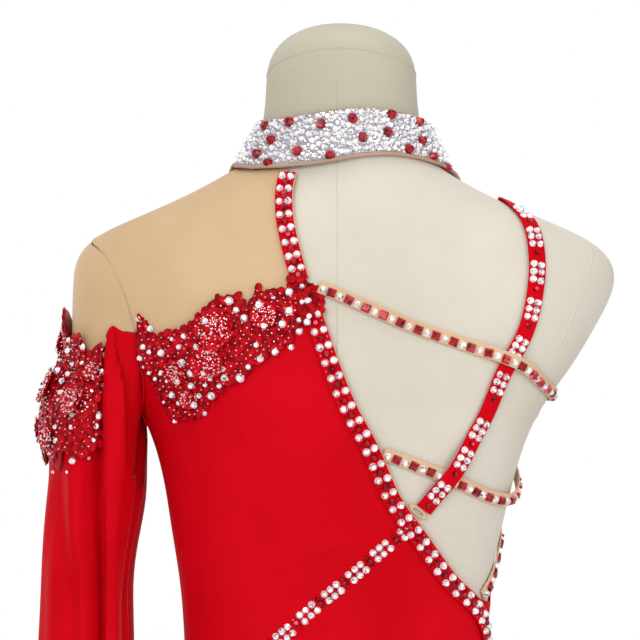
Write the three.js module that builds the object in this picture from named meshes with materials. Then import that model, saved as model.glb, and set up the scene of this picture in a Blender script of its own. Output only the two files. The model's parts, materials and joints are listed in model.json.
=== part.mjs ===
// A lyrical dance costume on a limbless dress form with a pole and a round base.
// Millimetres, +Z up. The floor is z = 0, the costume's front faces -Y, and the wearer's left is +X.
// Two coordinates give a place on the form: the angle u, which is 0 at the centre back, a quarter
// turn at the wearer's left side and half a turn at the centre front, and the height z.
import * as THREE from 'three';

const { Vector3 } = THREE;
const { degToRad, radToDeg, lerp, smoothstep } = THREE.MathUtils;
const HALF_TURN = Math.PI;
const SIDE = HALF_TURN / 2;

// Layers, outward from the form: cloth, then what lies on the cloth
const REST = 1.5; // from the form to the cloth's inside
const CLOTH = 1.2; // wall of the stretch cloth
const SEAM = 0.5; // between two pieces at a seam
const OVER = 3.7; // from the form to the inside of lace, straps and trim that lie on cloth
const LACE = 1.2;
const STRAP = 1.4;
const STONE = 1.5; // how far a large stone stands on its strap

// The form, which leans a few millimetres aside
const SIDE_Y = 3; // where the side seams run
const TORSO_SQUARE = 2.3; // 2 is an ellipse, more is squarer
const NECK_SQUARE = 2;
const NECK_FROM_Z = 1380; // between these heights the section turns from squarer to an ellipse
const NECK_FULL_Z = 1440;
const DOME_POWER = 0.98; // how full the neck cap's dome is
const RIM_Z = 1488; // the neck cap's seam at the sides, higher at the back
const RIM_TILT = 17;
const TOP_Z = 1528;
const FORM = [
  { z: 745, half: 158, back: 95, front: 90, aside: 0.5 },
  { z: 780, half: 163, back: 100, front: 95, aside: 0.5 },
  { z: 820, half: 165, back: 104, front: 99, aside: 0.5 },
  { z: 850, half: 163, back: 103, front: 101, aside: 0.6 },
  { z: 880, half: 157, back: 99, front: 102, aside: 0.8 },
  { z: 920, half: 145, back: 90, front: 101, aside: 1.2 },
  { z: 960, half: 131, back: 78, front: 96, aside: 2 },
  { z: 1000, half: 118, back: 68, front: 89, aside: 2.8 },
  { z: 1030, half: 113.5, back: 65, front: 86, aside: 3.2 },
  { z: 1060, half: 114, back: 66, front: 88, aside: 3.2 },
  { z: 1100, half: 118, back: 70, front: 97, aside: 2.4 },
  { z: 1140, half: 125.5, back: 76, front: 112, aside: 1.3 },
  { z: 1180, half: 133.5, back: 83, front: 126, aside: -0.4 },
  { z: 1215, half: 144, back: 88.5, front: 124, aside: -1 },
  { z: 1240, half: 157.5, back: 90.5, front: 117, aside: -1.6 },
  { z: 1263, half: 174.5, back: 91, front: 109, aside: -2.6 },
  { z: 1285, half: 187.5, back: 89.5, front: 99, aside: -3.1 },
  { z: 1306, half: 199.4, back: 87, front: 89, aside: -2.9 },
  { z: 1322, half: 206.4, back: 84, front: 81, aside: -3.8 },
  { z: 1335, half: 207.2, back: 80.5, front: 75, aside: -4.5 },
  { z: 1348, half: 203, back: 77, front: 69, aside: -3.8 },
  { z: 1360, half: 190.8, back: 74, front: 64, aside: -2.4 },
  { z: 1370, half: 171.8, back: 71, front: 60, aside: -1.9 },
  { z: 1380, half: 147.5, back: 68, front: 57, aside: -1.4 },
  { z: 1392, half: 120, back: 63.5, front: 54.5, aside: -1 },
  { z: 1403, half: 98.5, back: 59, front: 53, aside: -1 },
  { z: 1412, half: 82.5, back: 55, front: 52.5, aside: -0.9 },
  { z: 1420, half: 73, back: 52.5, front: 52.5, aside: -0.8 },
  { z: 1430, half: 67, back: 51, front: 54, aside: -0.8 },
  { z: 1445, half: 61.5, back: 50, front: 55.5, aside: -1 },
  { z: 1460, half: 59.5, back: 50, front: 58, aside: -1 },
  { z: 1475, half: 58, back: 50, front: 60, aside: -1 },
  { z: 1510, half: 58.5, back: 50, front: 62, aside: -1 },
];

// The pole and the base
const POLE_RADIUS = 15;
const BASE_RADIUS = 185;
const BASE_THICK = 12;
const FACE_GAP = 0.3;

// The costume's main lines
const WAIST_Z = 1018;
const HEM_Z = 540;
const CUFF_Z = 757;
const UNDERARM_Z = 1222;
const ARMHOLE = { u: degToRad(51.6), z: 1291 }; // where yoke, bodice and sleeve meet, front and back
const SHOULDER_Z = 1361; // the armhole's top
const RIGHT_SEAM_Z = 1084; // where the diagonal edge meets the front
// The collar's edges round the neck, in degrees from the centre back towards the wearer's left: their
// heights, and how far each stands off the form
const COLLAR = [
  { at: -180, low: 1385, high: 1428, lowOff: 1.5, highOff: 1.5 },
  { at: -135, low: 1396, high: 1437, lowOff: 1.5, highOff: 4 },
  { at: -90, low: 1411, high: 1447.5, lowOff: 1.5, highOff: 8 },
  { at: -60, low: 1418.5, high: 1453, lowOff: 1.5, highOff: 5 },
  { at: -35, low: 1422.5, high: 1458, lowOff: 1.5, highOff: 2 },
  { at: -12, low: 1421.5, high: 1459, lowOff: 2.3, highOff: 1.5 },
  { at: 12, low: 1414.5, high: 1456, lowOff: 3.7, highOff: 1.5 },
  { at: 35, low: 1411, high: 1453, lowOff: 3.7, highOff: 1.5 },
  { at: 60, low: 1411.5, high: 1451.5, lowOff: 3.7, highOff: 1.5 },
  { at: 90, low: 1414, high: 1452, lowOff: 3.7, highOff: 1.5 },
  { at: 135, low: 1399, high: 1440, lowOff: 3.7, highOff: 1.5 },
];

// How many steps each shared seam has
const ARMHOLE_STEPS = 6;
const YOKE_ROWS = 9;
const COLLAR_STEPS = 40;
const YOKE_COLLAR_STEPS = 7; // the collar's steps that the yoke hangs from
const YOKE_SHOULDER_STEPS = 4;
const EDGE_STEPS = 15;

// Edges in the back elevation: x across, z up
const YOKE_SEAM = [
  { x: 130, z: 1276 },
  { x: 105, z: 1284 },
  { x: 80, z: 1297 },
  { x: 55, z: 1303 },
  { x: 24, z: 1316 },
];
const YOKE_EDGE = [
  { x: 36, z: 1391 },
  { x: 34, z: 1368 },
  { x: 29, z: 1343 },
];
const ARMHOLE_TOP = [
  { x: 155, z: 1306 },
  { x: 159, z: 1318 },
  { x: 164, z: 1330 },
  { x: 171, z: 1341 },
  { x: 179, z: 1352 },
];
const ARMHOLE_LOW = [
  { x: 146, z: 1266 },
  { x: 145, z: 1245 },
  { x: 147.5, z: 1230 },
];
const BACK_EDGE = [
  { x: 18, z: 1315 },
  { x: 4, z: 1270 },
  { x: -9, z: 1240 },
  { x: -25, z: 1210 },
  { x: -42, z: 1172 },
  { x: -60, z: 1147 },
  { x: -84, z: 1112 },
  { x: -103, z: 1091 },
];
const FRONT_EDGE = [
  { x: 18, z: 1315 },
  { x: -10, z: 1301 },
  { x: -50, z: 1285 },
  { x: -92, z: 1271 },
  { x: -125, z: 1254 },
  { x: -141, z: 1236 },
  { x: -135, z: 1204 },
  { x: -126, z: 1160 },
  { x: -116, z: 1112 },
];

// Straps and trim: the middle of each, its lift above the form where it isn't plain, front where it is there
const NECK_STRAP = [
  { x: 38.5, z: 1408 },
  { x: 41.5, z: 1394 },
  { x: 41, z: 1373 },
  { x: 36, z: 1349 },
  { x: 30, z: 1328 },
];
const FRONT_NECK_STRAP_TOP = { x: 41, z: 1385, front: true };
const ROW_GAP = 4; // rows closer than this to an edge's end are left out
const BACK_TRIM = [
  { x: 22, z: 1309 },
  { x: 8, z: 1268 },
  { x: -5, z: 1236 },
  { x: -21, z: 1206 },
  { x: -37, z: 1169 },
  { x: -55, z: 1142 },
  { x: -79, z: 1107 },
  { x: -98, z: 1086 },
  { x: -106, z: 1068 },
  { x: -108, z: 1045 },
  { x: -109.5, z: 1021 },
];
const FRONT_TRIM = [
  { x: 16, z: 1307, front: true },
  { x: -10, z: 1294, front: true },
  { x: -50, z: 1278, front: true },
  { x: -88, z: 1264, front: true },
  { x: -118, z: 1248, front: true },
  { x: -132, z: 1230, front: true },
  { x: -126, z: 1196, front: true },
  { x: -117, z: 1152, front: true },
  { x: -110, z: 1112, front: true },
  { x: -111, z: 1089, front: true },
];
const UPPER_STRAP = [
  { x: 16, z: 1324 },
  { x: 5, z: 1319.5 },
  { x: -28.5, z: 1305 },
  { x: -55, z: 1294 },
  { x: -82, z: 1285 },
  { x: -98, z: 1279.5 },
  { x: -110, z: 1276, lift: 3.6 },
  { x: -120, z: 1272.5, lift: 5 },
  { x: -131, z: 1268, lift: 5 },
  { x: -141, z: 1261.5, lift: 3 },
  { x: -150, z: 1253.5 },
  { x: -157, z: 1243, front: true },
  { x: -145, z: 1236, front: true },
];
const LOWER_STRAP = [
  { x: -33.5, z: 1201.8 },
  { x: -69, z: 1188 },
  { x: -91, z: 1178 },
  { x: -112, z: 1168, lift: 1.6 },
  { x: -125, z: 1166, lift: 4 },
  { x: -134.5, z: 1174, lift: 4 },
  { x: -133.2, z: 1186, lift: 2, front: true },
];
const WAIST_STRAP = [
  { x: -105.9, z: 1092, lift: 1.2 },
  { x: -116, z: 1110, lift: 0.6 },
  { x: -121.5, z: 1128, lift: 0.7 },
  { x: -122, z: 1137, lift: 1.2, front: true },
];
const SHOULDER_STRAP = [
  { x: -96, z: 1275.5, front: true },
  { x: -108, z: 1305, front: true },
  { x: -120, z: 1340, front: true },
  { x: -127, z: 1372, front: true },
  { x: -127, z: 1389 },
  { x: -141, z: 1371 },
  { x: -145, z: 1342 },
  { x: -143, z: 1321 },
  { x: -139, z: 1302 },
  { x: -133, z: 1286 },
  { x: -119, z: 1261 },
  { x: -107, z: 1232 },
  { x: -98, z: 1215 },
  { x: -89, z: 1200, lift: 4 },
  { x: -83, z: 1190.5, lift: 5 },
  { x: -76, z: 1181, lift: 5 },
  { x: -70, z: 1173.5, lift: 3.6 },
  { x: -60.4, z: 1160.6 },
];
const STRAP_WIDTH = 13;
const THIN_STRAP_WIDTH = 9.5;
const TRIM_PITCH = 12; // one pair of crystals and one coloured stone
const THIN_PITCH = 15;
const BLOCK_PITCH = 25;
const LOOP = { x: -56.3, z: 1159.3, long: 8.5, short: 3, hole: 0.55, turn: degToRad(40) };

// Lace: its edges and raised flowers
const BACK_LACE = [
  { x: 149, high: 1303, low: 1277 },
  { x: 144, high: 1299, low: 1265 },
  { x: 138, high: 1289, low: 1256 },
  { x: 131, high: 1290, low: 1240 },
  { x: 124, high: 1290, low: 1227 },
  { x: 112, high: 1296, low: 1228 },
  { x: 101, high: 1306, low: 1231 },
  { x: 93, high: 1312, low: 1244 },
  { x: 83, high: 1317, low: 1253 },
  { x: 74, high: 1317, low: 1257 },
  { x: 67, high: 1308, low: 1262 },
  { x: 61, high: 1325, low: 1269 },
  { x: 56, high: 1318, low: 1273 },
  { x: 49, high: 1322, low: 1277 },
  { x: 42, high: 1322, low: 1281 },
  { x: 33, high: 1320, low: 1292 },
];
const SLEEVE_LACE = [
  { at: 102, high: 1284, low: 1205 },
  { at: 93, high: 1280, low: 1208 },
  { at: 84, high: 1275, low: 1199 },
  { at: 75, high: 1288, low: 1197 },
  { at: 64, high: 1288, low: 1204 },
  { at: 52, high: 1283, low: 1188 },
  { at: 40, high: 1288, low: 1192 },
  { at: 26, high: 1292, low: 1203 },
  { at: 12, high: 1300, low: 1190 },
  { at: -4, high: 1308, low: 1194 },
  { at: -20, high: 1306, low: 1204 },
  { at: -36, high: 1296, low: 1188 },
  { at: -52, high: 1304, low: 1198 },
  { at: -68, high: 1298, low: 1206 },
  { at: -84, high: 1290, low: 1192 },
  { at: -100, high: 1299, low: 1206 },
];
const LACE_ROWS = 5;
const PETALS = { count: 5, share: 0.2, flat: 0.35 }; // how flowers are lobed, and their flat middle
const BACK_FLOWERS = [
  { x: 92, z: 1293, radius: 17, rise: 4.5 },
  { x: 98, z: 1268, radius: 15, rise: 4 },
  { x: 56, z: 1303, radius: 12, rise: 3 },
];
const SLEEVE_FLOWERS = [
  { at: 76, z: 1240, radius: 22, rise: 4 },
  { at: 30, z: 1250, radius: 20, rise: 3.5 },
  { at: -30, z: 1246, radius: 20, rise: 4 },
  { at: -72, z: 1250, radius: 20, rise: 3.5 },
];

// The sleeve: reach of the outer and inner side across, half its depth, and how far the folds at its
// back have turned towards the body, in degrees
const SLEEVE = [
  { z: 757, outer: 267, inner: 200, deep: 54, turn: 28 },
  { z: 860, outer: 251, inner: 184, deep: 55, turn: 28 },
  { z: 930, outer: 238, inner: 170, deep: 56, turn: 28 },
  { z: 990, outer: 230, inner: 163.5, deep: 57, turn: 28 },
  { z: 1054, outer: 226.5, inner: 162.6, deep: 58, turn: 28 },
  { z: 1080, outer: 225.3, inner: 164.4, deep: 59, turn: 31 },
  { z: 1104, outer: 224.3, inner: 166, deep: 59, turn: 31 },
  { z: 1129, outer: 223.5, inner: 160.5, deep: 59, turn: 19 },
  { z: 1158, outer: 221.8, inner: 152.5, deep: 59, turn: 5 },
  { z: 1190, outer: 219.5, inner: 150.5, deep: 60, turn: 1.5 },
  { z: 1209, outer: 225, inner: 149.5, deep: 61, turn: 3 },
  { z: 1222, outer: 230, inner: 149.5, deep: 61.5, turn: 3 },
  { z: 1238, outer: 234.5, inner: 149.5, deep: 62, turn: -2 },
  { z: 1260, outer: 234.5, inner: 150, deep: 62, turn: -8.5 },
  { z: 1300, outer: 213, inner: 150, deep: 62, turn: -13 },
];
// Its folds, round the tube from the outer side over the back: how far out, and where they start and are full
const SLEEVE_FOLDS = [
  { at: 0, out: 1, start: 1225, full: 1140 },
  { at: 13, out: 3, start: 1225, full: 1140 },
  { at: 26, out: 3, start: 1225, full: 1140 },
  { at: 39, out: -1, start: 1225, full: 1140 },
  { at: 52, out: -4, start: 1225, full: 1140 },
  { at: 66, out: 5, start: 1230, full: 1150 },
  { at: 78, out: 1, start: 1240, full: 1150 },
  { at: 90, out: -4, start: 1255, full: 1160 },
  { at: 101, out: -6, start: 1288, full: 1200 },
  { at: 110, out: 6, start: 1296, full: 1240 },
  { at: 122, out: 5, start: 1280, full: 1190 },
  { at: 137, out: 3, start: 1240, full: 1170 },
  { at: 150, out: -5, start: 1230, full: 1160 },
  { at: 164, out: 3, start: 1215, full: 1150 },
  { at: 180, out: -2, start: 1215, full: 1120 },
  { at: 199, out: 4, start: 1215, full: 1130 },
  { at: 218, out: -6, start: 1225, full: 1150 },
  { at: 238, out: 5, start: 1240, full: 1160 },
  { at: 256, out: -6, start: 1250, full: 1160 },
  { at: 274, out: 6, start: 1225, full: 1140 },
  { at: 292, out: -5, start: 1225, full: 1130 },
  { at: 311, out: 5, start: 1225, full: 1140 },
  { at: 329, out: -4, start: 1225, full: 1150 },
  { at: 346, out: 3, start: 1225, full: 1140 },
];
const SLEEVE_X = 190; // its middle, across
const CAP_AT = 114; // degrees from the outer side to the armhole, front and back
const CAP_STEPS = 2 * YOKE_ROWS;
const CAP_ROWS = 7;
const CAP_HANG_Z = 1326; // where the cap leaves the form and hangs
const CAP_EDGE = [
  { at: -114, z: 1291 },
  { at: -80, z: 1281 },
  { at: -40, z: 1286 },
  { at: 0, z: 1290 },
  { at: 40, z: 1274 },
  { at: 70, z: 1267 },
  { at: 88, z: 1279 },
  { at: 101, z: 1293 },
  { at: 114, z: 1291 },
];
const SLEEVE_CLEAR_Z = 1205; // below this the sleeve is a free tube
const SLEEVE_TOP_ROWS = 4;
const SLEEVE_DROP = 0.8; // from the cap down to the sleeve
const SLEEVE_ROWS_Z = [1190, 1160, 1130, 1095, 1045, 965, 870, CUFF_Z];
const SLEEVE_SQUARE = 20 / 9; // its section, a little squarer than an ellipse
const CAP_SPACING = 1.6; // above 1 sets the cap's rows closer near the armhole

// The skirt
const SKIRT = [
  { z: 540, half: 226, back: 182, front: 178, wave: 20 },
  { z: 610, half: 214, back: 168, front: 165, wave: 17 },
  { z: 680, half: 202, back: 153, front: 151, wave: 13 },
  { z: 750, half: 189, back: 137, front: 136, wave: 9 },
  { z: 820, half: 178, back: 121, front: 122, wave: 5.5 },
  { z: 880, half: 168, back: 110, front: 116, wave: 3.5 },
  { z: 940, half: 146, back: 94, front: 106, wave: 2 },
  { z: 985, half: 126, back: 76, front: 95, wave: 0.7 },
  { z: 1018, half: 116.6, back: 67.9, front: 89.2, wave: 0 },
];
const FLUTES = 13;
const SKIRT_COLUMNS = 36;
const SKIRT_ROWS = 6;
const SKIRT_SPACING = 0.85; // below 1 sets the rows closer near the waist
const SKIRT_ROUND_Z = 820; // below this the section is an ellipse
const FLUTE_UNEVEN = { share: 0.28, waves: 3, from: 1 }; // some flutes are deeper
const FLUTE_DRIFT = { turn: 0.8, waves: 2 }; // and their spacing varies

// A smooth curve through a table: the function takes a value of the key column and gives the others
function smoothTable(rows, key, columns) {
  const sorted = [...rows].sort((a, b) => a[key] - b[key]);
  const curve = new THREE.CubicInterpolant(
    sorted.map((row) => row[key]),
    sorted.flatMap((row) => columns.map((column) => row[column])),
    columns.length,
  );
  return (at) => {
    const values = curve.evaluate(at);
    return Object.fromEntries(columns.map((column, i) => [column, values[i]]));
  };
}

// The same for a table that runs once round, by its column of degrees
function roundTable(rows, columns) {
  const turns = [-1, 0, 1].flatMap((turn) => rows.map((row) => ({ ...row, at: row.at + 360 * turn })));
  return smoothTable(turns, 'at', columns);
}

// A number to a power that keeps its sign
const signedPower = (value, power) => Math.sign(value) * Math.abs(value) ** power;

// A point on a rounded section: its half width, its reach to the back and to the front, its middle
function sectionPoint(u, z, { half, back, front, aside = 0 }, square) {
  const across = signedPower(Math.sin(u), 2 / square);
  const deep = signedPower(Math.cos(u), 2 / square);
  const reach = deep > 0 ? back - SIDE_Y : front + SIDE_Y;
  return new Vector3(aside + half * across, SIDE_Y + reach * deep, z);
}

const formSection = smoothTable(FORM, 'z', ['half', 'back', 'front', 'aside']);
const squareness = (z) => lerp(TORSO_SQUARE, NECK_SQUARE, smoothstep(z, NECK_FROM_Z, NECK_FULL_Z));
const formPoint = (u, z) => sectionPoint(u, z, formSection(z), squareness(z));

// The angle of a point that is x across at a height
function angleAt({ x, z, front = false }) {
  const { half, aside } = formSection(z);
  const share = Math.max(-1, Math.min(1, (x - aside) / half));
  const u = Math.asin(signedPower(share, squareness(z) / 2));
  return front ? Math.sign(u) * HALF_TURN - u : u;
}

// A surface's outward direction at (a, b), and its point moved outward
function outward(surface, a, b) {
  const step = 0.01;
  const rise = 0.5;
  const alongA = surface(a + step, b).sub(surface(a - step, b));
  const alongB = surface(a, b + rise).sub(surface(a, b - rise));
  return alongB.cross(alongA).normalize();
}
const lifted = (surface, a, b, by) => surface(a, b).addScaledVector(outward(surface, a, b), by);

// Points spaced evenly along a row of points
function evenly(points, steps, where = (point) => point) {
  const places = points.map(where);
  const far = [0];
  for (let i = 1; i < points.length; i += 1) {
    far.push(far[i - 1] + places[i].distanceTo(places[i - 1]));
  }
  return Array.from({ length: steps + 1 }, (_, i) => {
    const goal = (far.at(-1) * i) / steps;
    const k = Math.min(far.findIndex((d) => d >= goal - 1e-9) || 1, points.length - 1);
    const share = (goal - far[k - 1]) / (far[k] - far[k - 1]);
    return points[k - 1].clone().lerp(points[k], share);
  });
}

// A smooth line on the form through places that are (u, z, lift), in even steps
const LINE_DETAIL = 16;
const onForm = (place) => lifted(formPoint, place.x, place.y, place.z);
function formLine(places, steps, where = onForm) {
  const curve = new THREE.CatmullRomCurve3(places, false, 'catmullrom');
  return evenly(curve.getPoints(places.length * LINE_DETAIL), steps, where);
}
// Where columns of the bodice go: close together round the sides, so the angle counts for most
const TURN_WEIGHT = 110;
const HEIGHT_WEIGHT = 0.4;
const bySide = (place) => new Vector3(TURN_WEIGHT * place.x, HEIGHT_WEIGHT * place.y, 0);
const placeOf = (row) => new Vector3(angleAt(row), row.z, row.lift ?? REST);

// The same place on the other side of the shoulder line, front for back
const atFront = (place) => new Vector3(HALF_TURN - place.x, place.y, place.z);

// A grid between four edges that share their corners
function patch(low, high, start, end) {
  const across = low.length - 1;
  const up = start.length - 1;
  return start.map((_, j) => low.map((__, i) => {
    const s = i / across;
    const t = j / up;
    const point = low[i].clone().lerp(high[i], t);
    point.add(start[j].clone().lerp(end[j], s));
    const lowSide = low[0].clone().lerp(low[across], s);
    const highSide = high[0].clone().lerp(high[across], s);
    return point.sub(lowSide.lerp(highSide, t));
  }));
}

// The straight edge between two places
function straight(from, to, steps) {
  return Array.from({ length: steps + 1 }, (_, i) => from.clone().lerp(to, i / steps));
}

// The direction away from an upright axis at each point of a grid of points
function gridNormals(grid, wrap, axisX) {
  const rows = grid.length;
  const columns = grid[0].length;
  const near = (i) => (wrap ? (i + columns) % columns : Math.min(Math.max(i, 0), columns - 1));
  const normals = grid.map((row, j) => row.map((_, i) => {
    const up = grid[Math.min(j + 1, rows - 1)][i].clone().sub(grid[Math.max(j - 1, 0)][i]);
    const across = row[near(i + 1)].clone().sub(row[near(i - 1)]);
    return up.cross(across).normalize();
  }));
  const away = (p, n) => (p.x - axisX) * n.x + (p.y - SIDE_Y) * n.y;
  const total = grid.flat().reduce((sum, p, k) => sum + away(p, normals.flat()[k]), 0);
  normals.flat().forEach((n) => n.multiplyScalar(Math.sign(total)));
  return normals;
}

// Each edge of a grid drawn back by half a seam, towards the points beside it
function drawnBack(grid, wrap = false) {
  const rows = grid.length;
  const columns = grid[0].length;
  const towards = (point, other) => other.clone().sub(point).setLength(SEAM / 2);
  return grid.map((row, j) => row.map((point, i) => {
    const moved = point.clone();
    if (j === 0) moved.add(towards(point, grid[1][i]));
    if (j === rows - 1) moved.add(towards(point, grid[rows - 2][i]));
    if (!wrap && i === 0) moved.add(towards(point, row[1]));
    if (!wrap && i === columns - 1) moved.add(towards(point, row[columns - 2]));
    return moved;
  }));
}

// A closed mesh whose faces point out
function solid(name, points, index, material) {
  const geometry = new THREE.BufferGeometry();
  geometry.setAttribute('position', new THREE.Float32BufferAttribute(points.flatMap((p) => p.toArray()), 3));
  const volume = index.reduce((sum, _, k) => (k % 3 ? sum : sum
    + points[index[k]].dot(points[index[k + 1]].clone().cross(points[index[k + 2]]))), 0);
  geometry.setIndex(volume < 0 ? index.toReversed() : index);
  geometry.computeVertexNormals();
  const mesh = new THREE.Mesh(geometry, material);
  mesh.name = name;
  return mesh;
}

// A wall between an inner and an outer grid, closed round its edges; a wrapped one is a tube
function wall(name, inner, outer, material, wrap = false) {
  const rows = inner.length;
  const columns = inner[0].length;
  const points = [...inner.flat(), ...outer.flat()];
  const index = [];
  const at = (layer, j, i) => (layer * rows + j) * columns + (i % columns);
  const quad = (a, b, c, d) => index.push(a, b, c, a, c, d);
  const cells = wrap ? columns : columns - 1;
  for (let j = 0; j < rows - 1; j += 1) {
    for (let i = 0; i < cells; i += 1) {
      quad(at(1, j, i), at(1, j, i + 1), at(1, j + 1, i + 1), at(1, j + 1, i));
      quad(at(0, j, i), at(0, j + 1, i), at(0, j + 1, i + 1), at(0, j, i + 1));
    }
  }
  for (let i = 0; i < cells; i += 1) {
    quad(at(0, 0, i), at(0, 0, i + 1), at(1, 0, i + 1), at(1, 0, i));
    quad(at(1, rows - 1, i), at(1, rows - 1, i + 1), at(0, rows - 1, i + 1), at(0, rows - 1, i));
  }
  for (let j = 0; j < rows - 1 && !wrap; j += 1) {
    quad(at(0, j, 0), at(1, j, 0), at(1, j + 1, 0), at(0, j + 1, 0));
    quad(at(1, j, columns - 1), at(0, j, columns - 1), at(0, j + 1, columns - 1), at(1, j + 1, columns - 1));
  }
  return solid(name, points, index, material);
}

// Cloth of an even wall on a grid of points, round an upright axis
function clothWall(name, grid, material, { thick = CLOTH, wrap = false, axisX = 0 } = {}) {
  const inner = drawnBack(grid, wrap);
  const normals = gridNormals(inner, wrap, axisX);
  const outer = inner.map((row, j) => row.map((p, i) => p.clone().addScaledVector(normals[j][i], thick)));
  return wall(name, inner, outer, material, wrap);
}

// Materials
const finish = (name, color, roughness, metalness = 0) => {
  const material = new THREE.MeshStandardMaterial({ color, roughness, metalness });
  material.name = name;
  return material;
};
const RED_CLOTH = finish('red_stretch', '#cc0c1e', 0.62);
const NUDE_MESH = finish('nude_mesh', '#d8b78d', 0.7);
const RED_LACE = finish('red_lace', '#a80616', 0.6);
const STONES = finish('crystal', '#e8e4ea', 0.15);
const LINEN = finish('cream_cover', '#dfd8c6', 0.8);
const STEEL = finish('painted_steel', '#e9e7e2', 0.4, 0.3);

const costume = new THREE.Group();
costume.name = 'dance_costume_on_form';

// The form: rings up the torso and neck, then the cap's dome
const FORM_COLUMNS = 38;
const FORM_LEVELS = [
  745, 800, 850, 900, 945, 985, 1006, 1026, 1048, 1075, 1105, 1135, 1163, 1190, 1215, 1238, 1260, 1280,
  1299, 1316, 1330, 1341, 1350, 1358, 1366, 1374, 1382, 1391, 1400, 1410, 1421, 1434, 1448, 1460, 1472,
];
const DOME = [0, 0.22, 0.45, 0.7, 1]; // shares of a quarter turn
function formBody() {
  const turn = (i) => (2 * HALF_TURN * i) / FORM_COLUMNS;
  const ring = (point) => Array.from({ length: FORM_COLUMNS }, (_, i) => point(turn(i)));
  const rings = FORM_LEVELS.map((z) => ring((u) => formPoint(u, z)));
  DOME.slice(0, -1).forEach((share) => rings.push(ring((u) => {
    const rimZ = RIM_Z + RIM_TILT * Math.cos(u);
    const { x, y } = formPoint(u, rimZ);
    const shrink = Math.cos(share * SIDE) ** DOME_POWER;
    return new Vector3(x * shrink, SIDE_Y + (y - SIDE_Y) * shrink, lerp(rimZ, TOP_Z, Math.sin(share * SIDE)));
  })));
  const points = rings.flat();
  const index = [];
  rings.slice(1).forEach((_, j) => {
    for (let i = 0; i < FORM_COLUMNS; i += 1) {
      const a = j * FORM_COLUMNS + i;
      const b = j * FORM_COLUMNS + ((i + 1) % FORM_COLUMNS);
      index.push(a, b, b + FORM_COLUMNS, a, b + FORM_COLUMNS, a + FORM_COLUMNS);
    }
  });
  const bottom = points.push(new Vector3(0, SIDE_Y, FORM_LEVELS[0])) - 1;
  const top = points.push(new Vector3(0, SIDE_Y, TOP_Z)) - 1;
  const last = (rings.length - 1) * FORM_COLUMNS;
  for (let i = 0; i < FORM_COLUMNS; i += 1) {
    const next = (i + 1) % FORM_COLUMNS;
    index.push(bottom, next, i, top, last + i, last + next);
  }
  return solid('form_body', points, index, LINEN);
}
costume.add(formBody());

// The pole stands on the base and reaches up to the form
function turned(name, profile, material, sides) {
  const geometry = new THREE.LatheGeometry(profile.map(([r, z]) => new THREE.Vector2(r, z)), sides);
  geometry.rotateX(SIDE);
  const mesh = new THREE.Mesh(geometry, material);
  mesh.name = name;
  return mesh;
}
const BASE_BEVEL = 2.5;
costume.add(turned('stand_base', [
  [0, 0], [BASE_RADIUS, 0], [BASE_RADIUS, BASE_THICK - BASE_BEVEL],
  [BASE_RADIUS - BASE_BEVEL, BASE_THICK], [0, BASE_THICK],
], STEEL, 36));
costume.add(turned('stand_pole', [
  [0, BASE_THICK + FACE_GAP], [POLE_RADIUS, BASE_THICK + FACE_GAP],
  [POLE_RADIUS, FORM_LEVELS[0] - FACE_GAP], [0, FORM_LEVELS[0] - FACE_GAP],
], STEEL, 24));

// Shared edges, as places (u, z, lift) on the form at the back; the front has the same ones turned round
const armholeCorner = new Vector3(ARMHOLE.u, ARMHOLE.z, REST);
const underarm = new Vector3(SIDE, UNDERARM_Z, REST);
const shoulder = new Vector3(SIDE, SHOULDER_Z, REST);
const armholeLow = formLine([armholeCorner, ...ARMHOLE_LOW.map(placeOf), underarm], ARMHOLE_STEPS, bySide);
const armholeTop = formLine([armholeCorner, ...ARMHOLE_TOP.map(placeOf), shoulder], YOKE_ROWS);
const yokeSteps = YOKE_COLLAR_STEPS + YOKE_SHOULDER_STEPS;
const yokeSeam = formLine([armholeCorner, ...YOKE_SEAM.map(placeOf)], yokeSteps).reverse();
const seamEnd = yokeSeam[0];

// The collar's edges at an angle
const collarTable = roundTable(COLLAR, ['low', 'high', 'lowOff', 'highOff']);
const collarAt = (u) => collarTable(radToDeg(u));
const collarStep = (2 * HALF_TURN) / COLLAR_STEPS;

// The yoke hangs from the collar and the shoulder line, down to the bodice and the armhole
function yoke(name, turn) {
  const collarEdge = Array.from({ length: YOKE_COLLAR_STEPS + 1 }, (_, i) => turn(new Vector3(
    SIDE - (YOKE_COLLAR_STEPS - i) * collarStep, 0, REST)));
  collarEdge.forEach((place) => { place.y = collarAt(place.x).low; });
  const shoulderEdge = straight(collarEdge.at(-1), turn(shoulder), YOKE_SHOULDER_STEPS).slice(1);
  const high = [...collarEdge, ...shoulderEdge];
  const rows = YOKE_EDGE.filter((row) => row.z < high[0].y - 3 * ROW_GAP);
  const inner = rows.map((row) => turn(placeOf(row))).reverse();
  const start = formLine([turn(seamEnd), ...inner, high[0]], YOKE_ROWS);
  const places = patch(yokeSeam.map(turn), high, start, armholeTop.map(turn));
  return clothWall(name, places.map((row) => row.map(onForm)), NUDE_MESH);
}
const same = (place) => place.clone();
costume.add(yoke('yoke_back', same));
costume.add(yoke('yoke_front', atFront));

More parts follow.
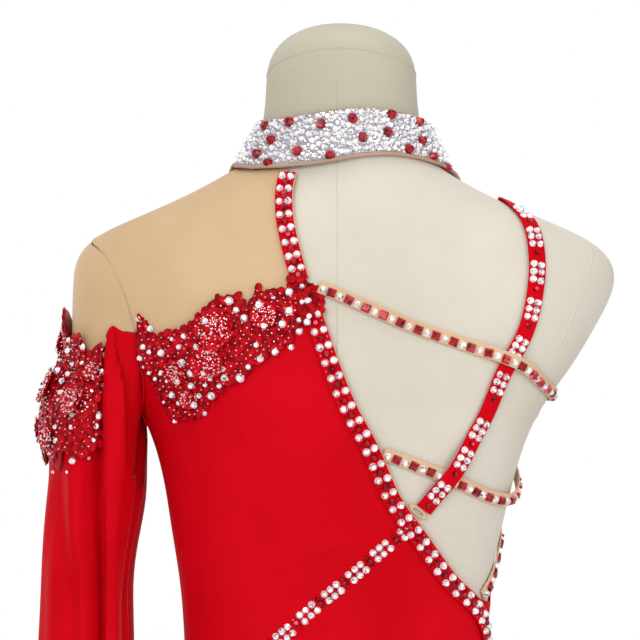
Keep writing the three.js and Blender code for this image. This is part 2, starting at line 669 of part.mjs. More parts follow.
// The bodice's back and front, from the waist up to the armhole, the yoke and the free edge
const BODICE_ROWS = 11;
function bodice(name, turn, edgeRows) {
  const front = turn === atFront;
  const rightSeam = new Vector3(front ? 3 * SIDE : -SIDE, RIGHT_SEAM_Z, REST);
  const edge = edgeRows.map((row) => {
    const place = placeOf({ ...row, front });
    if (place.x < 0 && front) place.x += 2 * HALF_TURN;
    return place;
  });
  const free = formLine([turn(seamEnd), ...edge, rightSeam], EDGE_STEPS, bySide);
  const high = [
    ...armholeLow.map(turn).reverse(),
    ...yokeSeam.map(turn).reverse().slice(1),
    ...free.slice(1),
  ];
  const low = high.map((place) => new Vector3(place.x, WAIST_Z, REST));
  const start = straight(low[0], high[0], BODICE_ROWS);
  const end = straight(low.at(-1), high.at(-1), BODICE_ROWS);
  const places = patch(low, high, start, end);
  return clothWall(name, places.map((row) => row.map(onForm)), RED_CLOTH);
}
costume.add(bodice('bodice_back', same, BACK_EDGE));
costume.add(bodice('bodice_front', atFront, FRONT_EDGE));

// The collar is a cone round the neck, from its low edge to its high one
const COLLAR_THICK = 1.6;
function collar() {
  const angles = Array.from({ length: COLLAR_STEPS }, (_, i) => i * collarStep);
  const low = angles.map((u) => lifted(formPoint, u, collarAt(u).low, collarAt(u).lowOff));
  const high = angles.map((u) => lifted(formPoint, u, collarAt(u).high, collarAt(u).highOff));
  const rows = [0, 0.5, 1].map((t) => low.map((point, i) => point.clone().lerp(high[i], t)));
  return clothWall('collar', rows, STONES, { thick: COLLAR_THICK, wrap: true });
}
costume.add(collar());

// The arm: where the sleeve's top edge runs, from the back of the armhole round the outer side to the front
const capEdge = smoothTable(CAP_EDGE, 'at', ['z']);
const capAngle = (at) => SIDE - (at / CAP_AT) * (SIDE - ARMHOLE.u);
const hangZ = (at) => lerp(ARMHOLE.z, CAP_HANG_Z, Math.sqrt(Math.max(0, Math.cos((at / CAP_AT) * SIDE))));
const capStep = (2 * CAP_AT) / CAP_STEPS;

// A point of the cap, which lies on the form and hangs straight down from where the form turns under
function capPoint(at, u, z) {
  const point = onForm(new Vector3(u, Math.max(z, hangZ(at)), REST));
  return point.setZ(z);
}
const sleeveTop = [];
for (let i = 0; i <= CAP_STEPS; i += 1) {
  const at = CAP_AT - i * capStep;
  sleeveTop.push({ at, point: capPoint(at, capAngle(at), capEdge(at).z) });
}
// Under the arm the sleeve stands clear of the bodice
const SLEEVE_CLEAR = 3.2;
const SLEEVE_ASIDE = 0.012; // radians
const clearOfBodice = armholeLow.map((place, i) => (
  new Vector3(place.x + SLEEVE_ASIDE * smoothstep(i, 0, 1), place.y, REST + SLEEVE_CLEAR * smoothstep(i, 0, 1))));
const lowArmhole = [...clearOfBodice.map(atFront), ...clearOfBodice.slice(0, -1).reverse()].map(onForm);
lowArmhole.slice(1).forEach((point, i) => {
  const at = -CAP_AT - ((i + 1) * (360 - 2 * CAP_AT)) / (2 * ARMHOLE_STEPS);
  sleeveTop.push({ at, point });
});

// The nude cap between the armhole's upper half and the red sleeve
function sleeveCap() {
  const seam = [...armholeTop, ...armholeTop.slice(0, -1).reverse().map(atFront)];
  const grid = Array.from({ length: CAP_ROWS + 1 }, (_, j) => seam.map((place, i) => {
    const { at, point } = sleeveTop[i];
    const t = 1 - (1 - j / CAP_ROWS) ** CAP_SPACING;
    return capPoint(at, lerp(capAngle(at), place.x, t), lerp(point.z, place.y, t));
  }));
  return clothWall('sleeve_cap', grid, NUDE_MESH);
}
costume.add(sleeveCap());

// The sleeve's tube: a rounded section with folds, which runs up into its top edge
const sleeveSection = smoothTable(SLEEVE, 'z', ['outer', 'inner', 'deep', 'turn']);
const foldTable = roundTable(SLEEVE_FOLDS, ['out', 'start', 'full']);
const turnedBy = (at, z) => sleeveSection(z).turn * Math.max(0, Math.sin(degToRad(at)));
function topAt(at) {
  const wrapped = at > CAP_AT ? at - 360 : at;
  const k = Math.max(1, sleeveTop.findIndex((top) => top.at <= wrapped));
  const [before, after] = [sleeveTop[k - 1], sleeveTop[k]];
  return before.point.clone().lerp(after.point, (before.at - wrapped) / (before.at - after.at));
}
function sleevePoint(at, z) {
  const { outer, inner, deep } = sleeveSection(z);
  const { out, start, full } = foldTable(at - turnedBy(at, z));
  const fold = out * (1 - smoothstep(z, full, start));
  const angle = degToRad(at);
  const tube = new Vector3(
    (outer + inner) / 2 + ((outer - inner) / 2 + fold) * signedPower(Math.cos(angle), 2 / SLEEVE_SQUARE),
    (deep + fold) * signedPower(Math.sin(angle), 2 / SLEEVE_SQUARE),
    z,
  );
  const top = topAt(at);
  const free = smoothstep(top.z - z, 0, top.z - SLEEVE_CLEAR_Z);
  return top.setZ(z).lerp(tube, free);
}

// At the armhole's two corners the sleeve keeps a seam's width off the bodice
sleeveTop.pop();
[sleeveTop[0], sleeveTop[CAP_STEPS]].forEach(({ point }) => { point.x += SEAM; });
sleeveTop.push({ at: CAP_AT - 360, point: sleeveTop[0].point });
function sleeve() {
  const ats = sleeveTop.slice(0, -1).flatMap((top, i) => [top.at, (top.at + sleeveTop[i + 1].at) / 2]);
  const grid = [];
  for (let j = 0; j <= SLEEVE_TOP_ROWS; j += 1) {
    grid.push(ats.map((at) => {
      const top = topAt(at);
      return sleevePoint(at, lerp(top.z - SLEEVE_DROP, SLEEVE_CLEAR_Z, j / SLEEVE_TOP_ROWS));
    }));
  }
  SLEEVE_ROWS_Z.forEach((z) => grid.push(ats.map((at) => sleevePoint(at, z))));
  return clothWall('sleeve', grid.reverse(), RED_CLOTH, { wrap: true, axisX: SLEEVE_X });
}
costume.add(sleeve());

// The skirt hangs from the waist seam in flutes that grow towards the hem
const skirtSection = smoothTable(SKIRT, 'z', ['half', 'back', 'front', 'wave']);
function skirtPoint(u, z) {
  const { wave, ...section } = skirtSection(z);
  const uneven = 1 + FLUTE_UNEVEN.share * Math.sin(FLUTE_UNEVEN.waves * u + FLUTE_UNEVEN.from);
  const drift = FLUTE_DRIFT.turn * Math.sin(FLUTE_DRIFT.waves * u);
  const flute = wave * uneven * Math.cos(FLUTES * u + drift);
  const round = lerp(NECK_SQUARE, TORSO_SQUARE, smoothstep(z, SKIRT_ROUND_Z, WAIST_Z));
  const point = sectionPoint(u, z, { ...section, aside: formSection(z).aside }, round);
  return point.add(new Vector3(Math.sin(u), Math.cos(u), 0).multiplyScalar(flute));
}
function skirt(name, from) {
  const grid = Array.from({ length: SKIRT_ROWS + 1 }, (_, j) => {
    const z = lerp(HEM_Z, WAIST_Z, (j / SKIRT_ROWS) ** SKIRT_SPACING);
    return Array.from({ length: SKIRT_COLUMNS + 1 }, (__, i) => (
      skirtPoint(from + (HALF_TURN * i) / SKIRT_COLUMNS, z)));
  });
  return clothWall(name, grid, RED_CLOTH);
}
costume.add(skirt('skirt_back', -SIDE));
costume.add(skirt('skirt_front', SIDE));

const MEASURE_STEPS = 200; // for a strap's length

// A strap or trim along a line on the form: flat inside, its large stones raised in steps outside
function strap(name, rows, { width, pitch, material, lift, parts = 2, stone = STONE }) {
  const places = rows.map((row) => {
    const place = placeOf(row);
    if (row.lift === undefined) place.z = lift;
    return place;
  });
  places.forEach((place, i) => {
    const before = places[i - 1];
    if (before && place.x - before.x > HALF_TURN) place.x -= 2 * HALF_TURN;
    if (before && before.x - place.x > HALF_TURN) place.x += 2 * HALF_TURN;
  });
  const dense = formLine(places, MEASURE_STEPS).map(onForm);
  const long = dense.slice(1).reduce((sum, p, i) => sum + p.distanceTo(dense[i]), 0);
  const steps = Math.round(long / pitch) * parts;
  const line = formLine(places, steps);
  const middle = line.map(onForm);
  const inner = [];
  const outer = [];
  middle.forEach((point, i) => {
    const along = middle[Math.min(i + 1, steps)].clone().sub(middle[Math.max(i - 1, 0)]).normalize();
    const normal = outward(formPoint, line[i].x, line[i].y);
    normal.addScaledVector(along, -normal.dot(along)).normalize();
    const across = normal.clone().cross(along).setLength(width / 2);
    const raised = i % parts === 1 ? stone : 0;
    const row = [point.clone().sub(across), point.clone().add(across)];
    inner.push(row);
    outer.push(row.map((p) => p.clone().addScaledVector(normal, STRAP + raised)));
  });
  return wall(name, inner, outer, material);
}
const mirrored = (rows) => rows.map((row) => ({ ...row, front: true }));
const frontNeck = mirrored(NECK_STRAP.filter((row) => row.z < FRONT_NECK_STRAP_TOP.z - ROW_GAP));
frontNeck.unshift(FRONT_NECK_STRAP_TOP);
const WIDE = { width: STRAP_WIDTH, pitch: TRIM_PITCH, material: STONES };
const THIN = { width: THIN_STRAP_WIDTH, pitch: THIN_PITCH, material: NUDE_MESH, lift: REST };
costume.add(strap('neck_strap_back', NECK_STRAP, { ...WIDE, lift: OVER }));
costume.add(strap('neck_strap_front', frontNeck, { ...WIDE, lift: OVER }));
costume.add(strap('edge_trim_back', BACK_TRIM, { ...WIDE, lift: OVER }));
costume.add(strap('edge_trim_front', FRONT_TRIM, { ...WIDE, lift: OVER, parts: 1 }));
costume.add(strap('shoulder_strap', SHOULDER_STRAP, {
  width: STRAP_WIDTH, pitch: BLOCK_PITCH, parts: 3, material: RED_CLOTH, lift: REST,
}));
costume.add(strap('back_strap_upper', UPPER_STRAP, THIN));
costume.add(strap('back_strap_lower', LOWER_STRAP, THIN));
costume.add(strap('waist_strap', WAIST_STRAP, THIN));

// The elastic loop between the shoulder strap's end and the back
function strapLoop() {
  const steps = 16;
  const ring = Array.from({ length: steps }, (_, i) => {
    const turn = (2 * HALF_TURN * i) / steps;
    const flat = new THREE.Vector2(LOOP.long * Math.cos(turn), LOOP.short * Math.sin(turn));
    flat.rotateAround(new THREE.Vector2(), LOOP.turn);
    return placeOf({ x: LOOP.x + flat.x, z: LOOP.z + flat.y });
  });
  const rim = [LOOP.hole, 1].map((share) => ring.map((place) => placeOf(LOOP).lerp(place, share)));
  const [inner, outer] = [0, CLOTH].map((thick) => rim.map((row) => (
    row.map(({ x, y }) => onForm(new Vector3(x, y, REST + thick))))));
  return wall('strap_loop', inner, outer, NUDE_MESH, true);
}
costume.add(strapLoop());

// Lace: a band between two edges, its flowers raised in the outer points
const laceMeasure = (rows, key) => smoothTable(rows, key, ['high', 'low']);
function flowerRise(flowers, key, across, z, scale) {
  return flowers.reduce((rise, flower) => {
    const [dx, dz] = [(across - flower[key]) * scale, z - flower.z];
    const far = Math.hypot(dx, dz) / flower.radius;
    const petals = 1 + PETALS.share * Math.cos(PETALS.count * Math.atan2(dz, dx));
    return Math.max(rise, flower.rise * petals * (1 - smoothstep(far, PETALS.flat, 1)));
  }, 0);
}
function lace(name, rows, key, columns, place, flowers, scale) {
  const edges = laceMeasure(rows, key);
  const ats = rows.map((row) => row[key]);
  const [from, to] = [ats[0], ats.at(-1)];
  const grids = [0, LACE].map((thick) => Array.from({ length: LACE_ROWS + 1 }, (_, j) => (
    Array.from({ length: columns + 1 }, (__, i) => {
      const at = lerp(from, to, i / columns);
      const { high, low } = edges(at);
      const z = lerp(low, high, j / LACE_ROWS);
      const rise = thick ? flowerRise(flowers, key, at, z, scale) : 0;
      return place(at, z, thick + rise);
    })
  )));
  return wall(name, grids[0], grids[1], RED_LACE);
}
const LACE_COLUMNS = 28;
const FRONT_LACE_COLUMNS = 22;
const onBack = (x, z, out) => onForm(new Vector3(angleAt({ x, z }), z, OVER + out));
const onFront = (x, z, out) => onForm(new Vector3(HALF_TURN - angleAt({ x, z }), z, OVER + out));
costume.add(lace('lace_back', BACK_LACE, 'x', LACE_COLUMNS, onBack, BACK_FLOWERS, 1));
costume.add(lace('lace_front', BACK_LACE, 'x', FRONT_LACE_COLUMNS, onFront, BACK_FLOWERS, 1));

// The sleeve's surface with its angle the other way, as the form's runs
const sleeveTurned = (turned, z) => sleevePoint(-turned, z);

// Round the sleeve the lace turns with the folds, and stands off the cap above the red cloth
const ARM_OVER = 3.6;
const LACE_FLARE = { most: 3, from: 1262, full: 1300 };
function onSleeve(at, z, out) {
  const flare = LACE_FLARE.most * smoothstep(z, LACE_FLARE.from, LACE_FLARE.full);
  return lifted(sleeveTurned, -at - turnedBy(at, z), z, ARM_OVER + flare + out);
}
const ARM_SCALE = 0.9; // millimetres of cloth to a degree round the sleeve
const SLEEVE_LACE_COLUMNS = 36;
costume.add(lace('lace_sleeve', SLEEVE_LACE, 'at', SLEEVE_LACE_COLUMNS, onSleeve, SLEEVE_FLOWERS, ARM_SCALE));

export default costume;
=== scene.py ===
# %% [markdown]
# # A lyrical dance costume on a dress form
#
# The solids that come from CAD give every size: the form, the cloth panels, the straps. This lesson
# dresses them. Each cloth panel becomes a smooth thin shell with its folds, and the small work is
# sewn on: rhinestones, lace flowers, seed beads and seams.

import json
import math
import random

import bmesh
import bpy
import numpy as np
from mathutils import Matrix, Vector
from mathutils.bvhtree import BVHTree

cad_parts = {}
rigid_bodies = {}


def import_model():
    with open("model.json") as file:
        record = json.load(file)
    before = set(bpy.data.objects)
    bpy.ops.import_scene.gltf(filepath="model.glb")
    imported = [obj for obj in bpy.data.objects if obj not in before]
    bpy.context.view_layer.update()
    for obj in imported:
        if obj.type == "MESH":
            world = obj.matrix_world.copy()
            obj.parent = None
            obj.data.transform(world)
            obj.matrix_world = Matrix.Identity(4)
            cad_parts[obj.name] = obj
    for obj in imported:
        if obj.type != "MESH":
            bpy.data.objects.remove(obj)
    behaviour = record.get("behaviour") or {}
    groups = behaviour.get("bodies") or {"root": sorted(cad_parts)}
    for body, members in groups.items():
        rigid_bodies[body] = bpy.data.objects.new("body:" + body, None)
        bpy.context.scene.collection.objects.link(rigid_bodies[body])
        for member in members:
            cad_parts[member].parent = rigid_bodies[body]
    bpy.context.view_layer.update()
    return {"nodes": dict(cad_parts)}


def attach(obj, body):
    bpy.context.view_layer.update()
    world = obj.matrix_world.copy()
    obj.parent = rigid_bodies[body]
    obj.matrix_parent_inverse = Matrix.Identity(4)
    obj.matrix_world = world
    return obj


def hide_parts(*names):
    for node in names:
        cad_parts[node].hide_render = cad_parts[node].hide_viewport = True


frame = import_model()
MM = 0.001  # tables are in millimetres, Blender works in metres

# %% [markdown]
# ## The camera
#
# The photograph is a level view of the back from about 1.7 m away, with the upper half of the
# costume filling a square picture. The lens follows from the width that the picture takes in.

# %% Camera
def placed(name, data):
    """An object of some data, linked into the scene."""
    made = bpy.data.objects.new(name, data)
    bpy.context.scene.collection.objects.link(made)
    return made


CAMERA_AWAY = 1700 * MM
CAMERA_HIGH = 1300 * MM
CAMERA_ASIDE = 15.4 * MM
PICTURE = 640  # pixels a side
PIXEL = 0.77 * MM  # of the picture, at the form's middle
SEEN_WIDE = PICTURE * PIXEL
SENSOR = 36

camera_data = bpy.data.cameras.new("camera")
camera_data.sensor_width = SENSOR
camera_data.lens = SENSOR * CAMERA_AWAY / SEEN_WIDE
camera = placed("camera", camera_data)
camera.location = (CAMERA_ASIDE, CAMERA_AWAY, CAMERA_HIGH)
camera.rotation_euler = Vector((0, -1, 0)).to_track_quat("-Z", "Y").to_euler()
bpy.context.scene.camera = camera
print("lens", round(camera_data.lens, 1), "mm")


def seen_on(tree, px, py, side=1):
    """The place and outward direction where a picture point falls on a piece."""
    half = PICTURE / 2
    ray = Vector(((half - px) * PIXEL, -side * CAMERA_AWAY, (half - py) * PIXEL))
    return tree.ray_cast(camera.location * Vector((1, side, 1)), ray.normalized())[:2]


def opposite(tree, px, py):
    """The same for the front: the picture point is looked at from the other side."""
    return seen_on(tree, px, py, -1)


# %% [markdown]
# ## The room
#
# A white studio: soft boxes all round give even light, and the strongest one stands behind the
# camera, so the form's sides fall off softly. The floor is plain and pale.

# %% Colours and nodes
def linear(hex_colour):
    """An sRGB hex colour as Blender's linear RGBA."""
    channels = [int(hex_colour[i:i + 2], 16) / 255 for i in (1, 3, 5)]
    return [c / 12.92 if c <= 0.04045 else ((c + 0.055) / 1.055) ** 2.4 for c in channels] + [1.0]


def add_node(tree, kind, settings=None, links=None):
    """Adds a node: settings go on its sockets or on itself, links join its inputs to outputs."""
    node = tree.nodes.new(kind)
    for name, value in (settings or {}).items():
        if isinstance(name, int) or name in node.inputs:
            node.inputs[name].default_value = value
        else:
            setattr(node, name, value)
    for name, source in (links or {}).items():
        tree.links.new(source, node.inputs[name])
    return node


# %% Lights, floor and background
LIT_PLACE = Vector((0, 0, 1.15))


def soft_box(name, place, wide, watts):
    """A square area light that faces the costume."""
    data = bpy.data.lights.new(name, "AREA")
    data.size = wide
    data.energy = watts
    light = placed(name, data)
    light.location = place
    aim = LIT_PLACE - Vector(place)
    light.rotation_euler = aim.to_track_quat("-Z", "Y").to_euler()


soft_box("key_light", (0.7, 2.4, 2.0), 1.5, 26)
soft_box("fill_light", (-1.9, 1.9, 1.5), 1.6, 15)
soft_box("front_light", (-0.8, -2.4, 1.9), 1.8, 22)
soft_box("front_fill_light", (1.9, -1.7, 1.3), 1.6, 12)
soft_box("top_light", (0.1, 0.2, 3.1), 1.6, 12)

world = bpy.data.worlds.new("white_studio")
bpy.context.scene.world = world
world.use_nodes = True
sky = world.node_tree
sky.nodes.clear()
backdrop = add_node(sky, "ShaderNodeBackground", {"Color": linear("#ffffff"), "Strength": 1.0})
ambient = add_node(sky, "ShaderNodeBackground", {"Color": linear("#fbfbff"), "Strength": 0.62})
rays = add_node(sky, "ShaderNodeLightPath")
seen = add_node(sky, "ShaderNodeMixShader", {}, {
    0: rays.outputs["Is Camera Ray"], 1: ambient.outputs[0], 2: backdrop.outputs[0]})
add_node(sky, "ShaderNodeOutputWorld", {}, {"Surface": seen.outputs[0]})
bpy.context.scene.view_settings.view_transform = "Standard"

floor_mesh = bmesh.new()
bmesh.ops.create_circle(floor_mesh, cap_ends=True, segments=96, radius=4.0)
floor_data = bpy.data.meshes.new("floor")
floor_mesh.to_mesh(floor_data)
floor = placed("floor", floor_data)
floor_finish = bpy.data.materials.new("matt_white_paint")
floor_finish.use_nodes = True
floor_shader = floor_finish.node_tree.nodes["Principled BSDF"]
floor_shader.inputs["Base Color"].default_value = linear("#eeeeec")
floor_shader.inputs["Roughness"].default_value = 0.9
floor_data.materials.append(floor_finish)

# %% [markdown]
# ## Finishes
#
# Each material starts from what the real one is. Coordinates are the object's own, in metres, so a
# pattern with a repeat of 1.6 mm has a scale of 1 / 0.0016.

# %% Material helpers
def new_finish(name, colour, roughness, **shader_values):
    """A material and its shader, with the values that are the same all over."""
    material = bpy.data.materials.new(name)
    material.use_nodes = True
    shader = material.node_tree.nodes["Principled BSDF"]
    shader.inputs["Base Color"].default_value = linear(colour)
    shader.inputs["Roughness"].default_value = roughness
    for socket, value in shader_values.items():
        shader.inputs[socket.replace("_", " ")].default_value = value
    material.diffuse_color = linear(colour)
    return material, material.node_tree, shader


def own_place(tree):
    """The object's own coordinates."""
    return add_node(tree, "ShaderNodeTexCoord").outputs["Object"]


def tone(tree, vector, size_mm, dark, light, spread=(0.35, 0.65), detail=3.0):
    """A soft mottle between two colours, with patches of one real size."""
    noise = add_node(tree, "ShaderNodeTexNoise", {"Scale": 1 / (size_mm * MM), "Detail": detail},
                     {"Vector": vector})
    ramp = add_node(tree, "ShaderNodeValToRGB", {}, {"Fac": noise.outputs["Fac"]})
    ramp.color_ramp.elements[0].position, ramp.color_ramp.elements[1].position = spread
    ramp.color_ramp.elements[0].color = linear(dark)
    ramp.color_ramp.elements[1].color = linear(light)
    return ramp.outputs["Color"]


def knit_height(tree, vector, wale_mm, course_mm):
    """The height of a knit: ribs one way, rows the other."""
    def bands(direction, repeat_mm):
        # a wave texture at scale 1 has a band every 2 pi / 20 of a unit
        scale = math.pi / 10 / (repeat_mm * MM)
        return add_node(tree, "ShaderNodeTexWave", {
            "bands_direction": direction, "Scale": scale, "Distortion": 0.6, "Detail": 1.0,
        }, {"Vector": vector})

    wales, rows = bands("X", wale_mm), bands("Y", course_mm)
    return add_node(tree, "ShaderNodeMath", {"operation": "ADD"}, {
        0: wales.outputs["Fac"], 1: rows.outputs["Fac"]}).outputs[0]


def relief(tree, shader, height, depth_mm):
    """Bumps a shader by a height of that many millimetres."""
    bump = add_node(tree, "ShaderNodeBump", {"Strength": 1.0, "Distance": depth_mm * MM},
                    {"Height": height})
    tree.links.new(bump.outputs["Normal"], shader.inputs["Normal"])


# %% [markdown]
# The red is a two-way stretch jersey of nylon and elastane: matt, with a soft glow at grazing
# angles. Its yarn is finer than a pixel, so the knit is drawn at 1.4 mm, as coarse as it needs to show.

# %% Cloth and cover materials
def knitted(name, dark, light, roughness, wale_mm, depth_mm, **shader_values):
    """A knitted cloth that reads the piece's own UV map, which is in metres."""
    material, tree, shader = new_finish(name, light, roughness, **shader_values)
    uv = add_node(tree, "ShaderNodeUVMap", {"uv_map": "weave"}).outputs["UV"]
    own = own_place(tree)
    tree.links.new(tone(tree, own, 90, dark, light), shader.inputs["Base Color"])
    relief(tree, shader, knit_height(tree, uv, wale_mm, wale_mm * 0.8), depth_mm)
    return material


red_stretch = knitted("red_stretch_jersey", "#c20212", "#cf0518", 0.6, 1.4, 0.05,
                      Sheen_Weight=0.05, Sheen_Roughness=0.4, Sheen_Tint=linear("#ff2a3a"),
                      Specular_IOR_Level=0.1, IOR=1.25)
nude_mesh = knitted("nude_power_mesh", "#c5a67c", "#ceaf87", 0.6, 1.8, 0.05,
                    Sheen_Weight=0.15, Sheen_Roughness=0.5, Sheen_Tint=linear("#f6e6cc"),
                    Specular_IOR_Level=0.25)
# the cream is the cotton's own colour, warmed a little as painted light: a stand-in for red light bounced
# from the costume
cotton_cover_bounce_warmed = knitted("cream_cotton_cover", "#cfc8b7", "#d7d0c1", 0.85, 1.9, 0.06,
                       Sheen_Weight=0.1, Sheen_Roughness=0.6, Specular_IOR_Level=0.15)
cap_cover = knitted("cream_cotton_cap", "#b9b29c", "#c0b9a4", 0.85, 1.9, 0.06,
                    Sheen_Weight=0.1, Sheen_Roughness=0.6, Specular_IOR_Level=0.15)
silver_mesh = knitted("silver_foil_mesh", "#9f9a9e", "#c6c2c6", 0.35, 1.6, 0.15, Metallic=0.4)
collar_braid = knitted("taupe_braid", "#b39079", "#c9a78f", 0.6, 1.2, 0.1, Specular_IOR_Level=0.2)
nude_elastic = knitted("nude_elastic", "#d4ab86", "#dfb994", 0.6, 1.2, 0.08,
                       Sheen_Weight=0.2, Specular_IOR_Level=0.3)

# %% [markdown]
# Lace is embroidered on net: deep red thread, glossier than the jersey. Seen close, its stitches lie
# side by side, so the relief is fine and runs in all directions.

# %% Lace and thread materials
def embroidered(name, dark, light, roughness):
    """Satin-stitched thread in fine ridges."""
    material, tree, shader = new_finish(name, light, roughness, Specular_IOR_Level=0.3,
                                        Specular_Tint=linear("#ff8a80"))
    own = own_place(tree)
    tree.links.new(tone(tree, own, 5, dark, light, (0.38, 0.6)), shader.inputs["Base Color"])
    threads = add_node(tree, "ShaderNodeTexVoronoi", {"Scale": 1 / (1.3 * MM)}, {"Vector": own})
    relief(tree, shader, threads.outputs["Distance"], 0.25)
    return material


stitching = embroidered("red_stitching", "#8f0010", "#b00418", 0.6)
lace_thread = embroidered("red_embroidery_thread", "#8a0010", "#c8061a", 0.45)
lace_ground = embroidered("red_lace_net", "#86020e", "#b40818", 0.6)
petal_satin = embroidered("red_petal_organza", "#a40212", "#dc0c24", 0.36)

# %% [markdown]
# Rhinestones are cut glass on a foil back: the facets mirror the room. Cells a little smaller than a
# stone paint facets white, grey, faint violet and green: painted glints and painted reflections of the
# room.

# %% Stone materials
def foiled_glass(name, glint_shades, glint_mm, metallic, roughness, coat=0.6):
    """Foil-backed glass whose small cells take painted glints and reflections from a ramp of tones."""
    material, tree, shader = new_finish(name, glint_shades[-1][1], roughness, Metallic=metallic,
                                        Coat_Weight=coat, Coat_Roughness=0.05)
    own = own_place(tree)
    # the cells are painted glints and reflections: facets made white, grey and dark as if they mirrored the
    # room
    glint_cells = add_node(tree, "ShaderNodeTexVoronoi", {"Scale": 1 / (glint_mm * MM)}, {"Vector": own})
    parts = add_node(tree, "ShaderNodeSeparateColor", {}, {"Color": glint_cells.outputs["Color"]})
    ramp = add_node(tree, "ShaderNodeValToRGB", {}, {"Fac": parts.outputs["Red"]})
    ramp.color_ramp.interpolation = "CONSTANT"
    while len(ramp.color_ramp.elements) < len(glint_shades):
        ramp.color_ramp.elements.new(0.5)
    for element, (place, colour) in zip(ramp.color_ramp.elements, glint_shades):
        element.position = place
        element.color = linear(colour)
    tree.links.new(ramp.outputs["Color"], shader.inputs["Base Color"])
    return material


# white and grey facets with violet and green hints: painted glints and painted reflections
crystal = foiled_glass("foiled_crystal", [
    (0.0, "#86808a"), (0.08, "#c9c4d2"), (0.18, "#ffffff"), (0.58, "#f0f6f0"), (0.68, "#e0daf2"),
    (0.78, "#ffffff"), (0.94, "#f6ecd0")], 1.3, 0.25, 0.16)
# light and dark reds from cell to cell: painted glints and painted reflections in the red glass
red_glass = foiled_glass("foiled_red_glass", [
    (0.0, "#52000a"), (0.2, "#8e0616"), (0.45, "#ae0a1e"), (0.75, "#c40f26"), (0.95, "#cc2c40")],
    2.2, 0.5, 0.2, 0.25)
# pink to white from cell to cell: partly the beads' silver lining, partly painted glints
seed_bead = foiled_glass("silver_lined_seed_beads", [
    (0.0, "#d8505c"), (0.2, "#f0c4c8"), (0.4, "#ffffff"), (0.85, "#e6dce6")], 1.1, 0.2, 0.2)

# %% Stand materials
painted_steel, steel_tree, steel_shader = new_finish(
    "powder_coated_steel", "#e4e2dd", 0.45, Coat_Weight=0.2, Coat_Roughness=0.3)
steel_own = own_place(steel_tree)
orange_peel = add_node(steel_tree, "ShaderNodeTexNoise", {"Scale": 1 / (1.6 * MM), "Detail": 2.0},
                       {"Vector": steel_own})
relief(steel_tree, steel_shader, orange_peel.outputs["Fac"], 0.06)
steel_tree.links.new(tone(steel_tree, steel_own, 60, "#dcdad4", "#e9e7e2"),
                     steel_shader.inputs["Base Color"])

# %% [markdown]
# ## Working with the CAD meshes
#
# A CAD node's mesh is loose triangles. A copy is merged, turned into quads and given creases on its
# cut edges. Catmull-Clark subdivision then rounds the cloth but keeps the panel's outline.

# %% Mesh helpers
RIM_ANGLE = math.radians(62)  # sharper than any fold, so only cut edges keep a crease
RIM_CREASE = 0.85
MERGE = 0.02 * MM
SIDE_Y = 3 * MM  # the side seams' plane
FORM_AXIS = Vector((0, SIDE_Y, 0))
WEAVE_ROUND = 110 * MM  # the radius at which a turn round the form is unrolled


def cad_copy(node_name):
    """A merged copy of a CAD mesh in quads, with its cut edges creased."""
    bm = bmesh.new()
    bm.from_mesh(frame["nodes"][node_name].data)
    bmesh.ops.remove_doubles(bm, verts=bm.verts, dist=MERGE)
    bmesh.ops.join_triangles(bm, faces=bm.faces, angle_face_threshold=math.pi,
                             angle_shape_threshold=math.pi)
    crease = bm.edges.layers.float.new("crease_edge")
    for edge in bm.edges:
        if edge.calc_face_angle(0) > RIM_ANGLE:
            edge[crease] = RIM_CREASE
    return bm


def mesh_of(obj):
    """A new mesh of an object with its modifiers applied."""
    return bpy.data.meshes.new_from_object(obj.evaluated_get(bpy.context.evaluated_depsgraph_get()))


def smoothed(bm, levels=2):
    """The same shape after subdivision, as a new bmesh."""
    mesh = bpy.data.meshes.new("smoothing")
    bm.to_mesh(mesh)
    bm.free()
    holder = placed("smoothing", mesh)
    modifier = holder.modifiers.new("smooth", "SUBSURF")
    modifier.levels = modifier.render_levels = levels
    bpy.context.view_layer.update()
    made = mesh_of(holder)
    result = bmesh.new()
    result.from_mesh(made)
    bpy.data.objects.remove(holder)
    bpy.data.meshes.remove(mesh)
    bpy.data.meshes.remove(made)
    return result


def turn_of(co, axis):
    """How far round an upright axis a point is: 0 at the back, a quarter turn at +X."""
    return math.atan2(co.x - axis.x, co.y - axis.y)


def add_weave_uv(bm, axis=FORM_AXIS, radius=WEAVE_ROUND):
    """A UV map in metres: round the axis across, and up."""
    layer = bm.loops.layers.uv.new("weave")
    for face in bm.faces:
        middle = turn_of(face.calc_center_median(), axis)
        for loop in face.loops:
            turn = turn_of(loop.vert.co, axis)
            if turn - middle > math.pi:
                turn -= 2 * math.pi
            if middle - turn > math.pi:
                turn += 2 * math.pi
            loop[layer].uv = (turn * radius, loop.vert.co.z)


def piece(name, bm, material, smooth=True):
    """Makes the object of a finished mesh, which rides on the one body."""
    mesh = bpy.data.meshes.new(name)
    bm.to_mesh(mesh)
    bm.free()
    for attribute in ("custom_normal", "crease_edge"):
        if attribute in mesh.attributes:
            mesh.attributes.remove(mesh.attributes[attribute])
    mesh.polygons.foreach_set("use_smooth", [smooth] * len(mesh.polygons))
    mesh.materials.clear()
    mesh.materials.append(material)
    made = placed(name, mesh)
    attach(made, "root")
    print(name, len(mesh.polygons), "faces")
    return made


def dressed(node_name, name, material, shape=None, axis=FORM_AXIS, radius=WEAVE_ROUND):
    """The smooth piece of a CAD solid, shaped by a function, which takes the solid's place."""
    bm = smoothed(cad_copy(node_name))
    if shape:
        shape(bm)
    add_weave_uv(bm, axis, radius)
    made = piece(name, bm, material)
    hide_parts(node_name)
    return made


def tree_of(*objects):
    """A search tree over the final surfaces of some objects."""
    whole = bmesh.new()
    for obj in objects:
        mesh = mesh_of(obj)
        whole.from_mesh(mesh)
        bpy.data.meshes.remove(mesh)
    tree = BVHTree.FromBMesh(whole)
    whole.free()
    return tree


